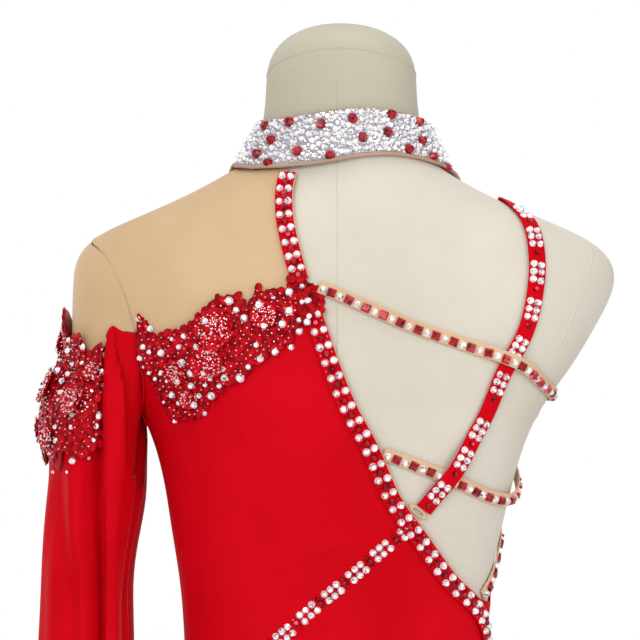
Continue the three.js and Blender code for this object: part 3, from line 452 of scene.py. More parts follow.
# %% [markdown]
# Folds are pressed in one by one. Each row of a table is one soft trough or ridge: where it starts and
# ends, round the piece in degrees and in height, how wide it is and how far out it goes. It fades at
# both ends, so no two look alike.

# %% Folds
FOLD_COLUMNS = ("turn_a", "high_a", "turn_b", "high_b", "wide", "out")


def press_folds(bm, axis_at, mm_per_degree, folds):
    """Moves the cloth in or out along each fold of a table."""
    for vert in bm.verts:
        axis = axis_at(vert.co.z)
        turn = math.degrees(turn_of(vert.co, axis))
        z = vert.co.z / MM
        out = 0.0
        for row in folds:
            fold = dict(zip(FOLD_COLUMNS, row))
            run = Vector(((fold["turn_b"] - fold["turn_a"]) * mm_per_degree,
                          fold["high_b"] - fold["high_a"]))
            off = ((turn - fold["turn_a"] + 180) % 360 - 180) * mm_per_degree
            here = Vector((off, z - fold["high_a"]))
            share = min(max(here.dot(run) / run.length_squared, 0), 1)
            away = (here - run * share).length / fold["wide"]
            if away < 2.5:
                fade = math.sin(math.pi * min(max(share * 0.94 + 0.03, 0), 1)) ** 0.6
                out += fold["out"] * fade * math.exp(-away * away)
        aside = Vector((vert.co.x - axis.x, vert.co.y - axis.y, 0)).normalized()
        vert.co += aside * out * MM


def form_axis_at(z):
    return FORM_AXIS


# %% [markdown]
# ## The dress form
#
# A torso without limbs, padded hard and covered in cream cotton, with a raised seam down the back,
# round each armhole and under the neck cap.

# %% Form body
NECK_COVER_Z = 1445 * MM  # above this the neck has its own, darker cover

form_cover = dressed("form_body", "form_cover", cotton_cover_bounce_warmed)
form_cover.data.materials.append(cap_cover)
for polygon in form_cover.data.polygons:
    polygon.material_index = int(polygon.center.z > NECK_COVER_Z)
form_tree = tree_of(form_cover)
OUTSIDE = 0.6  # metres, where a level look at a piece starts


def spot_back(tree, x, z, side=1):
    """A place on a piece and its outward direction, seen level from behind."""
    return tree.ray_cast(Vector((x * MM, side * OUTSIDE, z * MM)), Vector((0, -side, 0)))[:2]


def spot_front(tree, x, z):
    """The same from the front."""
    return spot_back(tree, x, z, -1)


def on_form(x, z, front=False):
    """The form's surface and its outward direction at a place in the back or front elevation."""
    place, out = spot_back(form_tree, x, z, -1 if front else 1)
    if place is None:  # just past the form's side
        place, out = form_tree.find_nearest(Vector((x * MM, SIDE_Y, z * MM)))[:2]
    return place, out


# %% [markdown]
# A welt seam is a fold of cover sewn down, about 1 mm high. A round cord sunk by half into the
# cover gives that soft ridge. The cord follows a curve, which is then made a mesh.

# %% Seams of the cover
CURVE_STEPS = 16


def spaced(points, step):
    """Evenly spaced points on a smooth line through others."""
    line = []
    for i in range(len(points) - 1):
        a, b = points[i], points[i + 1]
        before = points[i - 1] if i else a + (a - b)
        after = points[i + 2] if i + 2 < len(points) else b + (b - a)
        for k in range(CURVE_STEPS):
            t = k / CURVE_STEPS
            line.append(0.5 * (2 * a + (b - before) * t + (2 * before - 5 * a + 4 * b - after) * t ** 2
                               + (3 * a - before - 3 * b + after) * t ** 3))
    line.append(points[-1])
    far = [0.0]
    for a, b in zip(line, line[1:]):
        far.append(far[-1] + (b - a).length)
    count = max(2, round(far[-1] / step))
    made = []
    k = 1
    for i in range(count + 1):
        goal = far[-1] * i / count
        while k < len(line) - 1 and far[k] < goal:
            k += 1
        share = (goal - far[k - 1]) / (far[k] - far[k - 1])
        made.append(line[k - 1].lerp(line[k], min(max(share, 0), 1)))
    return made


def cord(name, points, radius, material, closed=False):
    """A round cord along points, made a mesh."""
    data = bpy.data.curves.new(name, "CURVE")
    data.dimensions = "3D"
    data.bevel_depth = radius
    data.bevel_resolution = 2
    data.use_fill_caps = not closed
    spline = data.splines.new("POLY")
    spline.points.add(len(points) - 1)
    for target, point in zip(spline.points, points):
        target.co = (*point, 1)
    spline.use_cyclic_u = closed
    holder = placed("cord_curve", data)
    bpy.context.view_layer.update()
    mesh = mesh_of(holder)
    bpy.data.objects.remove(holder)
    bm = bmesh.new()
    bm.from_mesh(mesh)
    bpy.data.meshes.remove(mesh)
    bmesh.ops.remove_doubles(bm, verts=bm.verts, dist=0.005 * MM)
    bmesh.ops.recalc_face_normals(bm, faces=bm.faces)
    add_weave_uv(bm)
    return piece(name, bm, material)


SEAM_RADIUS = 0.8
SEAM_SUNK = 0.3


def laid_cord(name, places, lift, radius, material):
    """A cord through places (x, z, front) that lies so many millimetres above the form."""
    points = []
    for point in spaced([on_form(*place)[0] for place in places], 4 * MM):
        surface, normal, _, _ = form_tree.find_nearest(point)
        points.append(surface + normal * lift * MM)
    return cord(name, points, radius * MM, material)


def cover_seam(name, places, material=cotton_cover_bounce_warmed):
    """A seam on the form's cover."""
    return laid_cord(name, places, -SEAM_SUNK, SEAM_RADIUS, material)


cover_seam("cover_seam_back", [(2.5, z) for z in range(1100, 1440, 20)])
cover_seam("cover_seam_neck", [(2.5, z) for z in range(1440, 1500, 20)], cap_cover)
cover_seam("cover_seam_front", [(0, z, True) for z in range(1000, 1480, 20)])
ARMHOLE_SEAM = [
    (-150, 1222), (-151, 1240), (-155, 1258), (-160.5, 1275), (-167, 1289), (-177, 1311),
    (-185, 1332), (-190, 1350), (-188, 1361),
]
for side, name in ((1, "right"), (-1, "left")):
    cover_seam(f"cover_seam_armhole_{name}_back", [(x * side, z) for x, z in ARMHOLE_SEAM])
    cover_seam(f"cover_seam_armhole_{name}_front", [(x * side, z, True) for x, z in ARMHOLE_SEAM])


def ring_round(tree, axis, height_at, lift, steps=96):
    """Points round an upright axis on a tube's outer face, at a height that depends on the angle."""
    ring = []
    for i in range(steps):
        turn = 2 * math.pi * i / steps
        out = Vector((math.sin(turn), math.cos(turn), 0))
        middle = axis + Vector((0, 0, height_at(turn) * MM))
        hit = tree.ray_cast(middle + out * 0.4, -out)
        if hit[0] is None:  # between two pieces
            hit = tree.find_nearest(ring[-1] if ring else middle + out * 0.1)
        ring.append(hit[0] + hit[1] * lift * MM)
    return ring


CAP_SEAM_Z, CAP_SEAM_TILT = 1487, 17
ring = ring_round(form_tree, FORM_AXIS,
                  lambda turn: CAP_SEAM_Z + CAP_SEAM_TILT * math.cos(turn), -SEAM_SUNK)
cord("cover_seam_neck_cap", ring, SEAM_RADIUS * MM, cap_cover, closed=True)

# %% [markdown]
# ## The cloth panels
#
# Yoke and cap are nude power mesh, pulled smooth. The red panels fit close and show long soft
# tension folds from the underarm and towards the waist.

# %% Yoke and cap
for name in ("yoke_back", "yoke_front"):
    dressed(name, f"{name}_mesh", nude_mesh)

ARM_ROUND = 45 * MM  # the sleeve's radius, for its weave
SLEEVE_AXIS = [(757, 233.5), (990, 197), (1104, 195), (1190, 185), (1300, 181)]


def sleeve_axis_at(z):
    """The middle of the sleeve at a height."""
    x = np.interp(z / MM, [row[0] for row in SLEEVE_AXIS], [row[1] for row in SLEEVE_AXIS])
    return Vector((x * MM, 0, 0))


CAP_FOLDS = [
    (60, 1345, 92, 1292, 9, -1.6), (70, 1300, 100, 1296, 8, -1.2), (118, 1345, 92, 1296, 9, -1.5),
]
cap = dressed("sleeve_cap", "sleeve_cap_mesh", nude_mesh,
              lambda bm: press_folds(bm, sleeve_axis_at, 0.85, CAP_FOLDS), sleeve_axis_at(1.3), ARM_ROUND)

# %% Red panels
def red_panel(node_name, shape, axis=FORM_AXIS, radius=WEAVE_ROUND):
    """A panel of red jersey, shaped by a function."""
    return dressed(node_name, f"{node_name}_jersey", red_stretch, shape, axis, radius)


BACK_FOLDS = [
    (58, 1205, 20, 1120, 16, 0.8), (52, 1180, 30, 1090, 12, -0.6), (-52, 1060, -20, 1030, 9, 0.9),
    (-56, 1048, -26, 1020, 8, -0.7), (60, 1120, 40, 1040, 14, 0.7), (10, 1100, 30, 1030, 18, 0.5),
    (-7, 1131, 44, 1104, 4, -1.3), (-6, 1138, 40, 1114, 4.5, 2.6), (6, 1108, 46, 1084, 4, -1.3),
    (10, 1115, 44, 1094, 4, 2.2), (-2, 1075, 38, 1061, 4, -1.2), (0, 1082, 34, 1070, 4, 1.9),
    (-55, 1083, -38, 1056, 4, -1.3), (-56, 1074, -36, 1044, 3.5, 2.2),
]
FRONT_FOLDS = [
    (125, 1205, 160, 1150, 14, 0.9), (-125, 1205, -160, 1150, 14, 0.9), (130, 1110, 165, 1050, 14, -0.7),
    (-130, 1100, -165, 1045, 14, -0.7), (180, 1080, 165, 1025, 16, 0.6),
]
back = red_panel("bodice_back", lambda bm: press_folds(bm, form_axis_at, 2.0, BACK_FOLDS))
red_panel("bodice_front", lambda bm: press_folds(bm, form_axis_at, 2.0, FRONT_FOLDS))

# %% [markdown]
# ## The sleeve
#
# Nothing fills the sleeve, so it hangs in upright folds from the lace to the cuff. The nearest fold
# stands over the lace: its edge runs up to a small tip that laps over the nude cap, and the cloth
# turns under beside it.

# %% Sleeve
SLEEVE_FOLDS = [
    (-19, 1292, -20, 760, 5, 1.6), (-47, 1300, -62, 1150, 9, -4.5), (-62, 1190, -60, 1010, 8, -2.5),
    (-38, 1235, -42, 1090, 4, 1.6), (-44, 1120, -40, 780, 6, -1.8), (2, 1200, -2, 770, 6, -2.6),
    (7, 1195, 9, 900, 5, 2.4), (34, 1180, 30, 780, 6, -1.5), (48, 1170, 50, 860, 6, 1.4),
    (90, 1150, 96, 800, 8, -2.0), (118, 1160, 112, 780, 8, 1.8), (150, 1180, 146, 900, 7, -2.0),
    (-160, 1170, -154, 800, 7, -1.8), (-130, 1160, -136, 780, 7, 1.6), (-100, 1190, -96, 860, 7, -1.8),
    (66, 1120, 66, 790, 6, -1.6),
]
TIP = Vector((172.5, 58, 1289))  # where the fold's top edge is drawn up into a tip
TIP_WIDE = (6.5, 9)
TIP_MOVE = Vector((-0.4, 1.6, 7))
TIP_DEEP = -25  # cloth further in than this from the tip stays


def draw_up_tip(bm):
    """Draws the fold's top edge up and out, most at the tip."""
    for vert in bm.verts:
        off = vert.co / MM - TIP
        if off.y > TIP_DEEP:
            near = math.exp(-(off.x / TIP_WIDE[0]) ** 2 - (off.z / TIP_WIDE[1]) ** 2)
            vert.co += TIP_MOVE * near * MM


# rows of a pleat: height, where its edge is across, how far the edge stands out, how far the cloth
# beside it goes in
PLEAT_LEFT = [
    (757, 211, 1, 3), (900, 187, 1.6, 6), (1000, 174.5, 2.4, 9), (1100, 174, 3, 10),
    (1180, 174, 3.6, 9), (1270, 174, 3.6, 4), (1292, 173, 1.0, 0.6),
]
PLEAT_RIGHT = [
    (1140, 144, 0, 0), (1160, 147, 0.8, 2), (1174, 154, 1.6, 5), (1196, 160.7, 2, 6), (1250, 160.7, 2, 6),
    (1285, 169.6, 1, 3), (1292, 171, 0, 0),
]


FRONT_HALF = 5  # the pleats are only in the cloth behind this depth
EDGE_SOFT, UNDER_SOFT = 6, 4  # how far a pleat's pull reaches, on its edge and under it
UNDER_PULL = -1.6


def lay_pleat(bm, rows, side, lap, wide):
    """Laps a fold over the cloth on one side of its sharp edge (+1 is towards +X)."""
    heights, edges, outs, ins = zip(*rows)
    for vert in bm.verts:
        x, y, z = vert.co / MM
        if y < FRONT_HALF:
            continue
        off = (x - np.interp(z, heights, edges)) * side
        above, below = np.interp(z, heights, outs), np.interp(z, heights, ins)
        share = min(1, above / 1.5)
        if off <= 0:
            near = math.exp(-(off / EDGE_SOFT) ** 2)
            vert.co += Vector((lap * share * side * near, above * near, 0)) * MM
        else:
            near = math.exp(-(off / UNDER_SOFT) ** 2)
            aside = UNDER_PULL * share * side * near
            vert.co += Vector((aside, -below * max(0, 1 - off / wide), 0)) * MM


def shape_sleeve(bm):
    """All that is done to the sleeve's cloth."""
    press_folds(bm, sleeve_axis_at, 0.78, SLEEVE_FOLDS)
    lay_pleat(bm, PLEAT_LEFT, 1, lap=2.6, wide=19)
    lay_pleat(bm, PLEAT_RIGHT, -1, lap=1.6, wide=60)
    draw_up_tip(bm)


sleeve = red_panel("sleeve", shape_sleeve, sleeve_axis_at(1.0), ARM_ROUND)

# %% [markdown]
# The seams: a nude ridge between yoke and cap, a red one where the sleeve is set in below it, and the
# bodice's waist seam. Hems are turned up 12 mm and stitched.

# %% Seams of the costume
ARMHOLE_TOP = [
    (151.4, 1291), (155, 1306), (159, 1318), (164, 1330), (171, 1341), (179, 1352), (187.5, 1361),
]
ARMHOLE_LOW = [(151.4, 1291), (146, 1266), (145, 1245), (147, 1230), (144.5, 1221)]


def both_sides(places):
    """The same places at the back and, in reverse, at the front."""
    return places + [(x, z, True) for x, z in reversed(places[:-1])]


laid_cord("armhole_seam_nude", both_sides(ARMHOLE_TOP), 2.2, 0.85, nude_mesh)
laid_cord("armhole_seam_red", both_sides(ARMHOLE_LOW), 3.5, 1.0, red_stretch)
shoulder_seam = [(86, 1409), (104, 1399), (123, 1390), (148, 1379), (170, 1370), (186, 1362)]
laid_cord("shoulder_seam", [(x, z, True) for x, z in shoulder_seam], 2.6, 0.5, nude_mesh)

# %% Skirt
SKIRT_FOLDS = {
    "skirt_back": [(-70, 930, -74, 600, 12, 3), (-34, 900, -30, 560, 12, -3), (8, 940, 14, 590, 11, 3),
                   (40, 910, 48, 560, 12, -3), (72, 930, 70, 600, 11, 2.5)],
    "skirt_front": [(110, 930, 104, 600, 12, 3), (150, 900, 154, 560, 12, -3),
                    (-170, 940, -176, 590, 11, 3), (-135, 910, -128, 560, 12, -3),
                    (-105, 930, -108, 600, 11, 2.5)],
}
SKIRT_ROUND = 160 * MM
for name, folds in SKIRT_FOLDS.items():
    red_panel(name, lambda bm: press_folds(bm, form_axis_at, 2.8, folds), radius=SKIRT_ROUND)

# %% Waist seam and hems
WAIST_Z, SKIRT_LOW, CUFF_LOW = 1016.5, 540, 757
HEM_ROWS = (10, 13)  # millimetres above the hem's edge
skirt_tree = tree_of(bpy.data.objects["skirt_back_jersey"], bpy.data.objects["skirt_front_jersey"])
waist = ring_round(skirt_tree, FORM_AXIS, lambda turn: WAIST_Z, -0.1)
cord("waist_seam", waist, 0.9 * MM, red_stretch, closed=True)
for name, tree, axis, low in (("skirt", skirt_tree, FORM_AXIS, SKIRT_LOW),
                              ("cuff", tree_of(sleeve), sleeve_axis_at(0.765), CUFF_LOW)):
    for row in HEM_ROWS:
        ring = ring_round(tree, axis, lambda turn: low + row, -0.15, 240)
        cord(f"{name}_hem_stitch_{row}", ring, 0.35 * MM, stitching, closed=True)

# %% [markdown]
# ## Straps and trim
#
# Every strap is a flat band that lies on the form or on cloth, a little crowned by its elastic. A
# grid is bent along stations that follow the strap's line, then Solidify gives it its thickness.

# %% Bands
BAND_THICK = 1.3 * MM
BAND_CROWN = 0.35
ACROSS_STEPS = 6
SOFT_EDGE = 0.3 * MM
CUT_EDGE = math.radians(50)
STATION_STEP = 2.5 * MM
OVER_CLOTH = 3.7  # where trim lies on cloth, outside the form
ON_FORM = 1.5


class Station:
    """A place on a strap: its middle, the way out, along and across."""

    def __init__(self, place, out, along):
        self.place = place
        self.out = out
        self.along = along
        self.across = out.cross(along).normalized()

    def spot(self, across, lift):
        """A place so many millimetres across and above the strap's middle."""
        return self.place + self.across * across * MM + self.out * lift * MM


def stations(rows, lift):
    """Stations along a table of rows (x, z), (x, z, lift) or (x, z, lift, front)."""
    points = []
    for row in rows:
        x, z, own_lift, front = (*row, None, None)[:4]
        surface, _ = on_form(x, z, bool(front))
        points.append(Vector((*surface, (lift if own_lift is None else own_lift) * MM)))
    made, laid = [], []
    for point in spaced(points, STATION_STEP):
        surface, normal, _, _ = form_tree.find_nearest(point.to_3d())
        laid.append((surface + normal * point.w, normal))
    for i, (place, normal) in enumerate(laid):
        along = (laid[min(i + 1, len(laid) - 1)][0] - laid[max(i - 1, 0)][0]).normalized()
        made.append(Station(place, (normal - along * normal.dot(along)).normalized(), along))
    return made


def band(name, line, width, material):
    """A crowned band along stations, closed all round."""
    bm = bmesh.new()
    bmesh.ops.create_grid(bm, x_segments=len(line) - 1, y_segments=ACROSS_STEPS, size=0.5)
    uv = bm.loops.layers.uv.new("weave")
    for face in bm.faces:
        for loop in face.loops:
            co = loop.vert.co
            loop[uv].uv = ((co.x + 0.5) * (len(line) - 1) * STATION_STEP, co.y * width * MM)
    for vert in bm.verts:
        share, side = vert.co.x + 0.5, vert.co.y * 2
        station = line[round(share * (len(line) - 1))]
        vert.co = station.spot(side * width / 2, BAND_CROWN * (1 - side * side))
    bm.faces.ensure_lookup_table()
    face = bm.faces[len(bm.faces) // 2]
    face.normal_update()
    nearest = min(line, key=lambda station: (station.place - face.calc_center_median()).length)
    if face.normal.dot(nearest.out) < 0:
        bmesh.ops.reverse_faces(bm, faces=bm.faces)
    made = piece(name, bm, material)
    wall = made.modifiers.new("wall", "SOLIDIFY")
    wall.thickness = BAND_THICK
    wall.offset = 1
    wall.use_even_offset = True
    edge = made.modifiers.new("soft_edge", "BEVEL")
    edge.width = SOFT_EDGE
    edge.segments = 2
    edge.limit_method = "ANGLE"
    edge.angle_limit = CUT_EDGE
    return made


# %% [markdown]
# ## Rhinestones
#
# A flat-back stone is a low frustum: eight slanted facets round a flat table. Each is turned and
# tipped a little, because glue never sets two alike, and so each one catches another light.

# %% Stones
chance = random.Random(27)
TIPPED = 0.12  # radians
GLUED_IN = 0.15 * MM
FROM_ABOVE = 20 * MM


def frame_at(place, out, along):
    """A matrix whose Z is the way out and whose X runs along."""
    across = out.cross(along).normalized()
    along = across.cross(out).normalized()
    turned = Matrix((along, across, out)).transposed().to_4x4()
    return Matrix.Translation(place) @ turned


def set_stone(bm, place, out, along, radius, sides=8, height=0.42, table=0.58, turn=None):
    """One flat-back stone on a surface; the radius is in millimetres."""
    spin = chance.uniform(0, 2 * math.pi) if turn is None else turn
    tip = Matrix.Rotation(chance.uniform(-TIPPED, TIPPED), 4, "X") @ Matrix.Rotation(
        chance.uniform(-TIPPED, TIPPED), 4, "Y")
    deep = radius * 2 * height * MM
    matrix = frame_at(place, out, along) @ tip @ Matrix.Rotation(spin, 4, "Z") @ Matrix.Translation(
        (0, 0, deep / 2 - GLUED_IN))
    bmesh.ops.create_cone(bm, cap_ends=True, segments=sides, radius1=radius * MM,
                          radius2=radius * table * MM, depth=deep, matrix=matrix)


def stones_piece(name, bm, material):
    """Stones of one kind, joined into one piece with flat facets."""
    bmesh.ops.recalc_face_normals(bm, faces=bm.faces)
    piece(name, bm, material, smooth=False)


def clear_and_red(name, clear, red):
    """The two pieces of a set of crystals and red stones."""
    stones_piece(f"{name}_crystals", clear, crystal)
    stones_piece(f"{name}_red_stones", red, red_glass)


def dropped(tree, place, out):
    """Where a point above the cloth comes down on it."""
    return tree.ray_cast(place + out * FROM_ABOVE, -out)[0]


# %% Strap and trim lines
NECK_STRAP = [(38.5, 1408), (41.5, 1394), (41, 1373), (36, 1349), (30, 1328)]
NECK_STRAP_FRONT = [(41, 1385, None, 1), (41, 1373, None, 1), (36, 1349, None, 1), (30, 1328, None, 1)]
EDGE_TRIM_BACK = [
    (22, 1309), (8, 1268), (-5, 1236), (-21, 1206), (-37, 1169), (-55, 1142), (-79, 1107),
    (-98, 1086), (-106, 1068), (-108, 1045), (-109.5, 1021),
]
EDGE_TRIM_FRONT = [
    (16, 1307, None, 1), (-10, 1294, None, 1), (-50, 1278, None, 1), (-88, 1264, None, 1),
    (-118, 1248, None, 1), (-132, 1230, None, 1), (-126, 1196, None, 1), (-117, 1152, None, 1),
    (-110, 1112, None, 1), (-111, 1089, None, 1),
]
BACK_STRAP_UPPER = [
    (16, 1324), (5, 1319.5), (-28.5, 1305), (-55, 1294), (-82, 1285), (-98, 1279.5), (-110, 1276, 3.6),
    (-120, 1272.5, 5), (-131, 1268, 5), (-141, 1261.5, 3), (-150, 1253.5),
    (-157, 1243, None, 1), (-145, 1236, None, 1),
]
BACK_STRAP_LOWER = [
    (-31, 1202.8), (-69, 1188), (-91, 1178), (-112, 1168, 1.6), (-125, 1166, 4), (-134.5, 1174, 4),
    (-133.2, 1186, 2, 1),
]
WAIST_STRAP = [(-105.9, 1092, 1.2), (-116, 1110, 0.6), (-121.5, 1128, 0.7), (-122, 1137, 1.2, 1)]
SHOULDER_STRAP = [
    (-96, 1275.5, None, 1), (-108, 1305, None, 1), (-120, 1340, None, 1), (-127, 1372, None, 1),
    (-127, 1389), (-141, 1371), (-145, 1342), (-143, 1321), (-139, 1302), (-133, 1286),
    (-119, 1261), (-107, 1232), (-98, 1215), (-89, 1200, 4), (-83, 1190.5, 5), (-76, 1181, 5),
    (-70, 1173.5, 3.6), (-60.4, 1160.6),
]
STRAP_WIDE = 13
STRAP_THIN = 9.5

CLOTH_LINES = {
    "neck_strap_back": NECK_STRAP, "neck_strap_front": NECK_STRAP_FRONT,
    "edge_trim_back": EDGE_TRIM_BACK, "edge_trim_front": EDGE_TRIM_FRONT,
}
FORM_LINES = {
    "shoulder_strap": SHOULDER_STRAP, "back_strap_upper": BACK_STRAP_UPPER,
    "back_strap_lower": BACK_STRAP_LOWER, "waist_strap": WAIST_STRAP,
}
lines = {name: stations(rows, OVER_CLOTH) for name, rows in CLOTH_LINES.items()}
lines.update({name: stations(rows, ON_FORM) for name, rows in FORM_LINES.items()})
THIN_STRAPS = ("back_strap_upper", "back_strap_lower", "waist_strap")
for name, line in lines.items():
    thin = name in THIN_STRAPS
    made = band(f"{name}_band", line, STRAP_THIN if thin else STRAP_WIDE,
                nude_elastic if thin else red_stretch)
    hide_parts(name)

# %% [markdown]
# The trim's outer edge is turned over a nude binding, which shows as a thin line.

# %% Nude edge of the trim
for name in ("edge_trim_back", "edge_trim_front", "neck_strap_back", "neck_strap_front"):
    line = lines[name]
    outer = 1 if (line[len(line) // 2].across.x < 0) else -1
    points = [station.spot(outer * (STRAP_WIDE / 2 - 0.2), 0.5) for station in line]
    cord(f"{name}_binding", points, 0.75 * MM, nude_elastic)

# %% Stones on the trim
TRIM_PITCH = 11.8
NECK_PITCH = 10.6
PAIR_ASIDE = 3.2
BAND_TOP = 1.3 + 0.3


def at_length(line, length):
    """The station at a length in millimetres from the start."""
    share = min(max(length * MM / STATION_STEP, 0), len(line) - 1.001)
    a, b, t = line[int(share)], line[int(share) + 1], share % 1
    return Station(a.place.lerp(b.place, t), a.out.lerp(b.out, t).normalized(),
                   a.along.lerp(b.along, t).normalized())


def trim_stones(name, line, pitch):
    """Pairs of crystals with a red stone and smaller ones between them."""
    clear, red = bmesh.new(), bmesh.new()
    long = (len(line) - 1) * STATION_STEP / MM
    count = max(1, int((long - 2) / pitch))
    start = (long - (count - 0.5) * pitch) / 2
    for i in range(count):
        station = at_length(line, start + i * pitch)
        for side in (-1, 1):
            wobble = chance.uniform(-0.5, 0.5)
            place = station.spot(side * PAIR_ASIDE + wobble * 0.5, BAND_TOP)
            set_stone(clear, place + station.along * wobble * MM, station.out, station.along,
                      chance.uniform(2.9, 3.2))
        middle = at_length(line, start + (i + 0.5) * pitch)
        set_stone(red, middle.spot(chance.uniform(-0.4, 0.4), BAND_TOP), middle.out, middle.along,
                  chance.uniform(2.9, 3.3), sides=6)
        for side in (-1, 1):
            set_stone(red, middle.spot(side * 4.5, BAND_TOP - 0.3), middle.out, middle.along,
                      chance.uniform(1.3, 1.7), sides=6)
    clear_and_red(name, clear, red)


for name in CLOTH_LINES:
    trim_stones(name, lines[name], NECK_PITCH if "neck" in name else TRIM_PITCH)

# %% Stones on the thin straps
THIN_PITCH = 13.7
STONE_LOW = -0.9  # the stones run along the strap's lower part


def thin_strap_stones(name, line):
    """Square red stones and round clear ones in turn."""
    clear, red = bmesh.new(), bmesh.new()
    low = STONE_LOW if line[len(line) // 2].across.z > 0 else -STONE_LOW
    long = (len(line) - 1) * STATION_STEP / MM
    half_steps = int(long * 2 / THIN_PITCH)
    for i in range(half_steps):
        station = at_length(line, 3.5 + i * THIN_PITCH / 2)
        place = station.spot(low, BAND_TOP)
        if i % 2:
            set_stone(red, place, station.out, station.along, 4.7, sides=4, height=0.26,
                      table=0.7, turn=math.pi / 4 + chance.uniform(-0.1, 0.1))
        else:
            set_stone(clear, place, station.out, station.along, chance.uniform(2.8, 3.1))
    clear_and_red(name, clear, red)


for name in THIN_STRAPS:
    thin_strap_stones(name, lines[name])

# %% Stone blocks on the shoulder strap and the back
BLOCKS = [
    (-137, 1379), (-141.5, 1360), (-143.7, 1334.8), (-140.7, 1308), (-129.6, 1281.5),
    (-117.8, 1253.4), (-100.8, 1220), (-87.5, 1197), (-71.9, 1175),
]
FRONT_BLOCKS = [(-100, 1288), (-110, 1312), (-118, 1336), (-125, 1360)]
BLOCK_ROW, BLOCK_PAIR = 5.9, 6
BLOCK_NEXT = 12.4  # from a block's middle to the red stone after it


def stone_block(clear, red, cloth, centre, along, out):
    """Two by three crystals round a centre, each set on the cloth below it."""
    across = out.cross(along).normalized()
    for row in (-1, 0, 1):
        for side in (-0.5, 0.5):
            place = centre + along * row * BLOCK_ROW * MM + across * side * BLOCK_PAIR * MM
            place += along * chance.uniform(-0.4, 0.4) * MM
            landed = dropped(cloth, place, out)
            if landed is not None:
                set_stone(clear, landed, out, along, chance.uniform(2.7, 3.05))
    for row in (-0.5, 0.5):
        landed = dropped(cloth, centre + along * row * BLOCK_ROW * MM, out)
        if landed is not None:
            set_stone(red, landed, out, along, 1.2, sides=6)


strap_tree = tree_of(bpy.data.objects["shoulder_strap_band"])
clear, red = bmesh.new(), bmesh.new()
strap_line = lines["shoulder_strap"]
for blocks, is_front in ((BLOCKS, False), (FRONT_BLOCKS, True)):
    for x, z in blocks:
        target = on_form(x, z, is_front)[0]
        station = min(strap_line, key=lambda s: (s.place - target).length)
        stone_block(clear, red, strap_tree, station.place, station.along, station.out)
        after = at_length(strap_line, (strap_line.index(station) * STATION_STEP / MM) + BLOCK_NEXT)
        landed = dropped(strap_tree, after.place, after.out)
        if landed is not None:
            set_stone(red, landed, after.out, after.along, 2.5)
clear_and_red("shoulder_strap", clear, red)

# %% [markdown]
# The same blocks go on across the red back in the strap's line, down to the waist seam.

# %% Stone line on the back
BLOCK_GAP = 11.9  # from a block's middle to the red stones that join it to the next
JOINING_STONES = ((0, 3.0), (-3.6, 1.8), (3.6, 1.8))  # across, radius
BACK_LINE = [
    (-50, 1146), (-30, 1130), (-12, 1114), (6, 1099), (24, 1084), (42, 1067), (60, 1052), (78, 1037),
]
back_tree = tree_of(back)
clear, red = bmesh.new(), bmesh.new()
for i, (x, z) in enumerate(BACK_LINE):
    ahead = BACK_LINE[min(i + 1, len(BACK_LINE) - 1)]
    behind = BACK_LINE[max(i - 1, 0)]
    middle, out = spot_back(back_tree, x, z)
    if middle is None:
        continue
    along = Vector((ahead[0] - behind[0], 0, ahead[1] - behind[1]))
    along = (along - out * along.dot(out)).normalized()
    stone_block(clear, red, back_tree, middle, along, out)
    for side, radius in JOINING_STONES:
        place = middle + along * BLOCK_GAP * MM + out.cross(along) * side * MM
        landed = dropped(back_tree, place, out)
        if landed is not None:
            set_stone(red, landed, out, along, radius, sides=6)
clear_and_red("back_line", clear, red)

# %% Elastic loop
dressed("strap_loop", "strap_loop_elastic", nude_elastic)

# %% [markdown]
# ## The collar
#
# A stiff band cut as a flat cone, covered in crystals of four sizes and a few large red stones, with
# a nude binding along both edges. Stones are packed like darts: the large ones first, and each
# smaller one where it still fits.

# %% Collar band
collar_tree = tree_of(dressed("collar", "collar_band", silver_mesh, radius=70 * MM))
COLLAR_OUTSIDE = 0.3
COLLAR_REACH = 0.26  # a ray from outside stops before the collar's far side
COLLAR_TURNS = np.radians(np.arange(-180, 181, 3))


def collar_ray(turn, z):
    """Where a level line towards the neck meets the collar's outside, if it does."""
    out = Vector((math.sin(turn), math.cos(turn), 0))
    start = FORM_AXIS + Vector((0, 0, z * MM)) + out * COLLAR_OUTSIDE
    return collar_tree.ray_cast(start, -out, COLLAR_REACH)[:2]


def collar_end(turn, z, step):
    """The first height at which the collar is met, going on from z by steps."""
    while collar_ray(turn, z)[0] is None:
        z += step
    return z


COLLAR_LOW = [collar_end(turn, 1370, 0.4) for turn in COLLAR_TURNS]
COLLAR_HIGH = [collar_end(turn, 1475, -0.4) for turn in COLLAR_TURNS]


def collar_height(turn, share):
    """A height on the collar, from its low edge (0) to its high one (1), at an angle round the neck."""
    at = (turn + math.pi) % (2 * math.pi) - math.pi
    low, high = np.interp(at, COLLAR_TURNS, COLLAR_LOW), np.interp(at, COLLAR_TURNS, COLLAR_HIGH)
    return float(low * (1 - share) + high * share)


def collar_spot(turn, share):
    """A place on the collar's outside and its outward direction."""
    out = Vector((math.sin(turn), math.cos(turn), 0))
    place, normal = collar_ray(turn, collar_height(turn, min(max(share, 0.02), 0.98)))
    if place is None:
        place, normal, _, _ = collar_tree.find_nearest(
            FORM_AXIS + Vector((0, 0, collar_height(turn, share) * MM)) + out * 0.085)
    return place, out if normal.dot(out) < 0.3 else normal


for name, share, radius, lift in (("low", 0.0, 1.4, 0.5), ("high", 0.98, 0.6, -0.2)):
    spots = [collar_spot(2 * math.pi * i / 96, share) for i in range(96)]
    ring = [place + out * lift * MM for place, out in spots]
    cord(f"collar_binding_{name}", ring, radius * MM, collar_braid, closed=True)

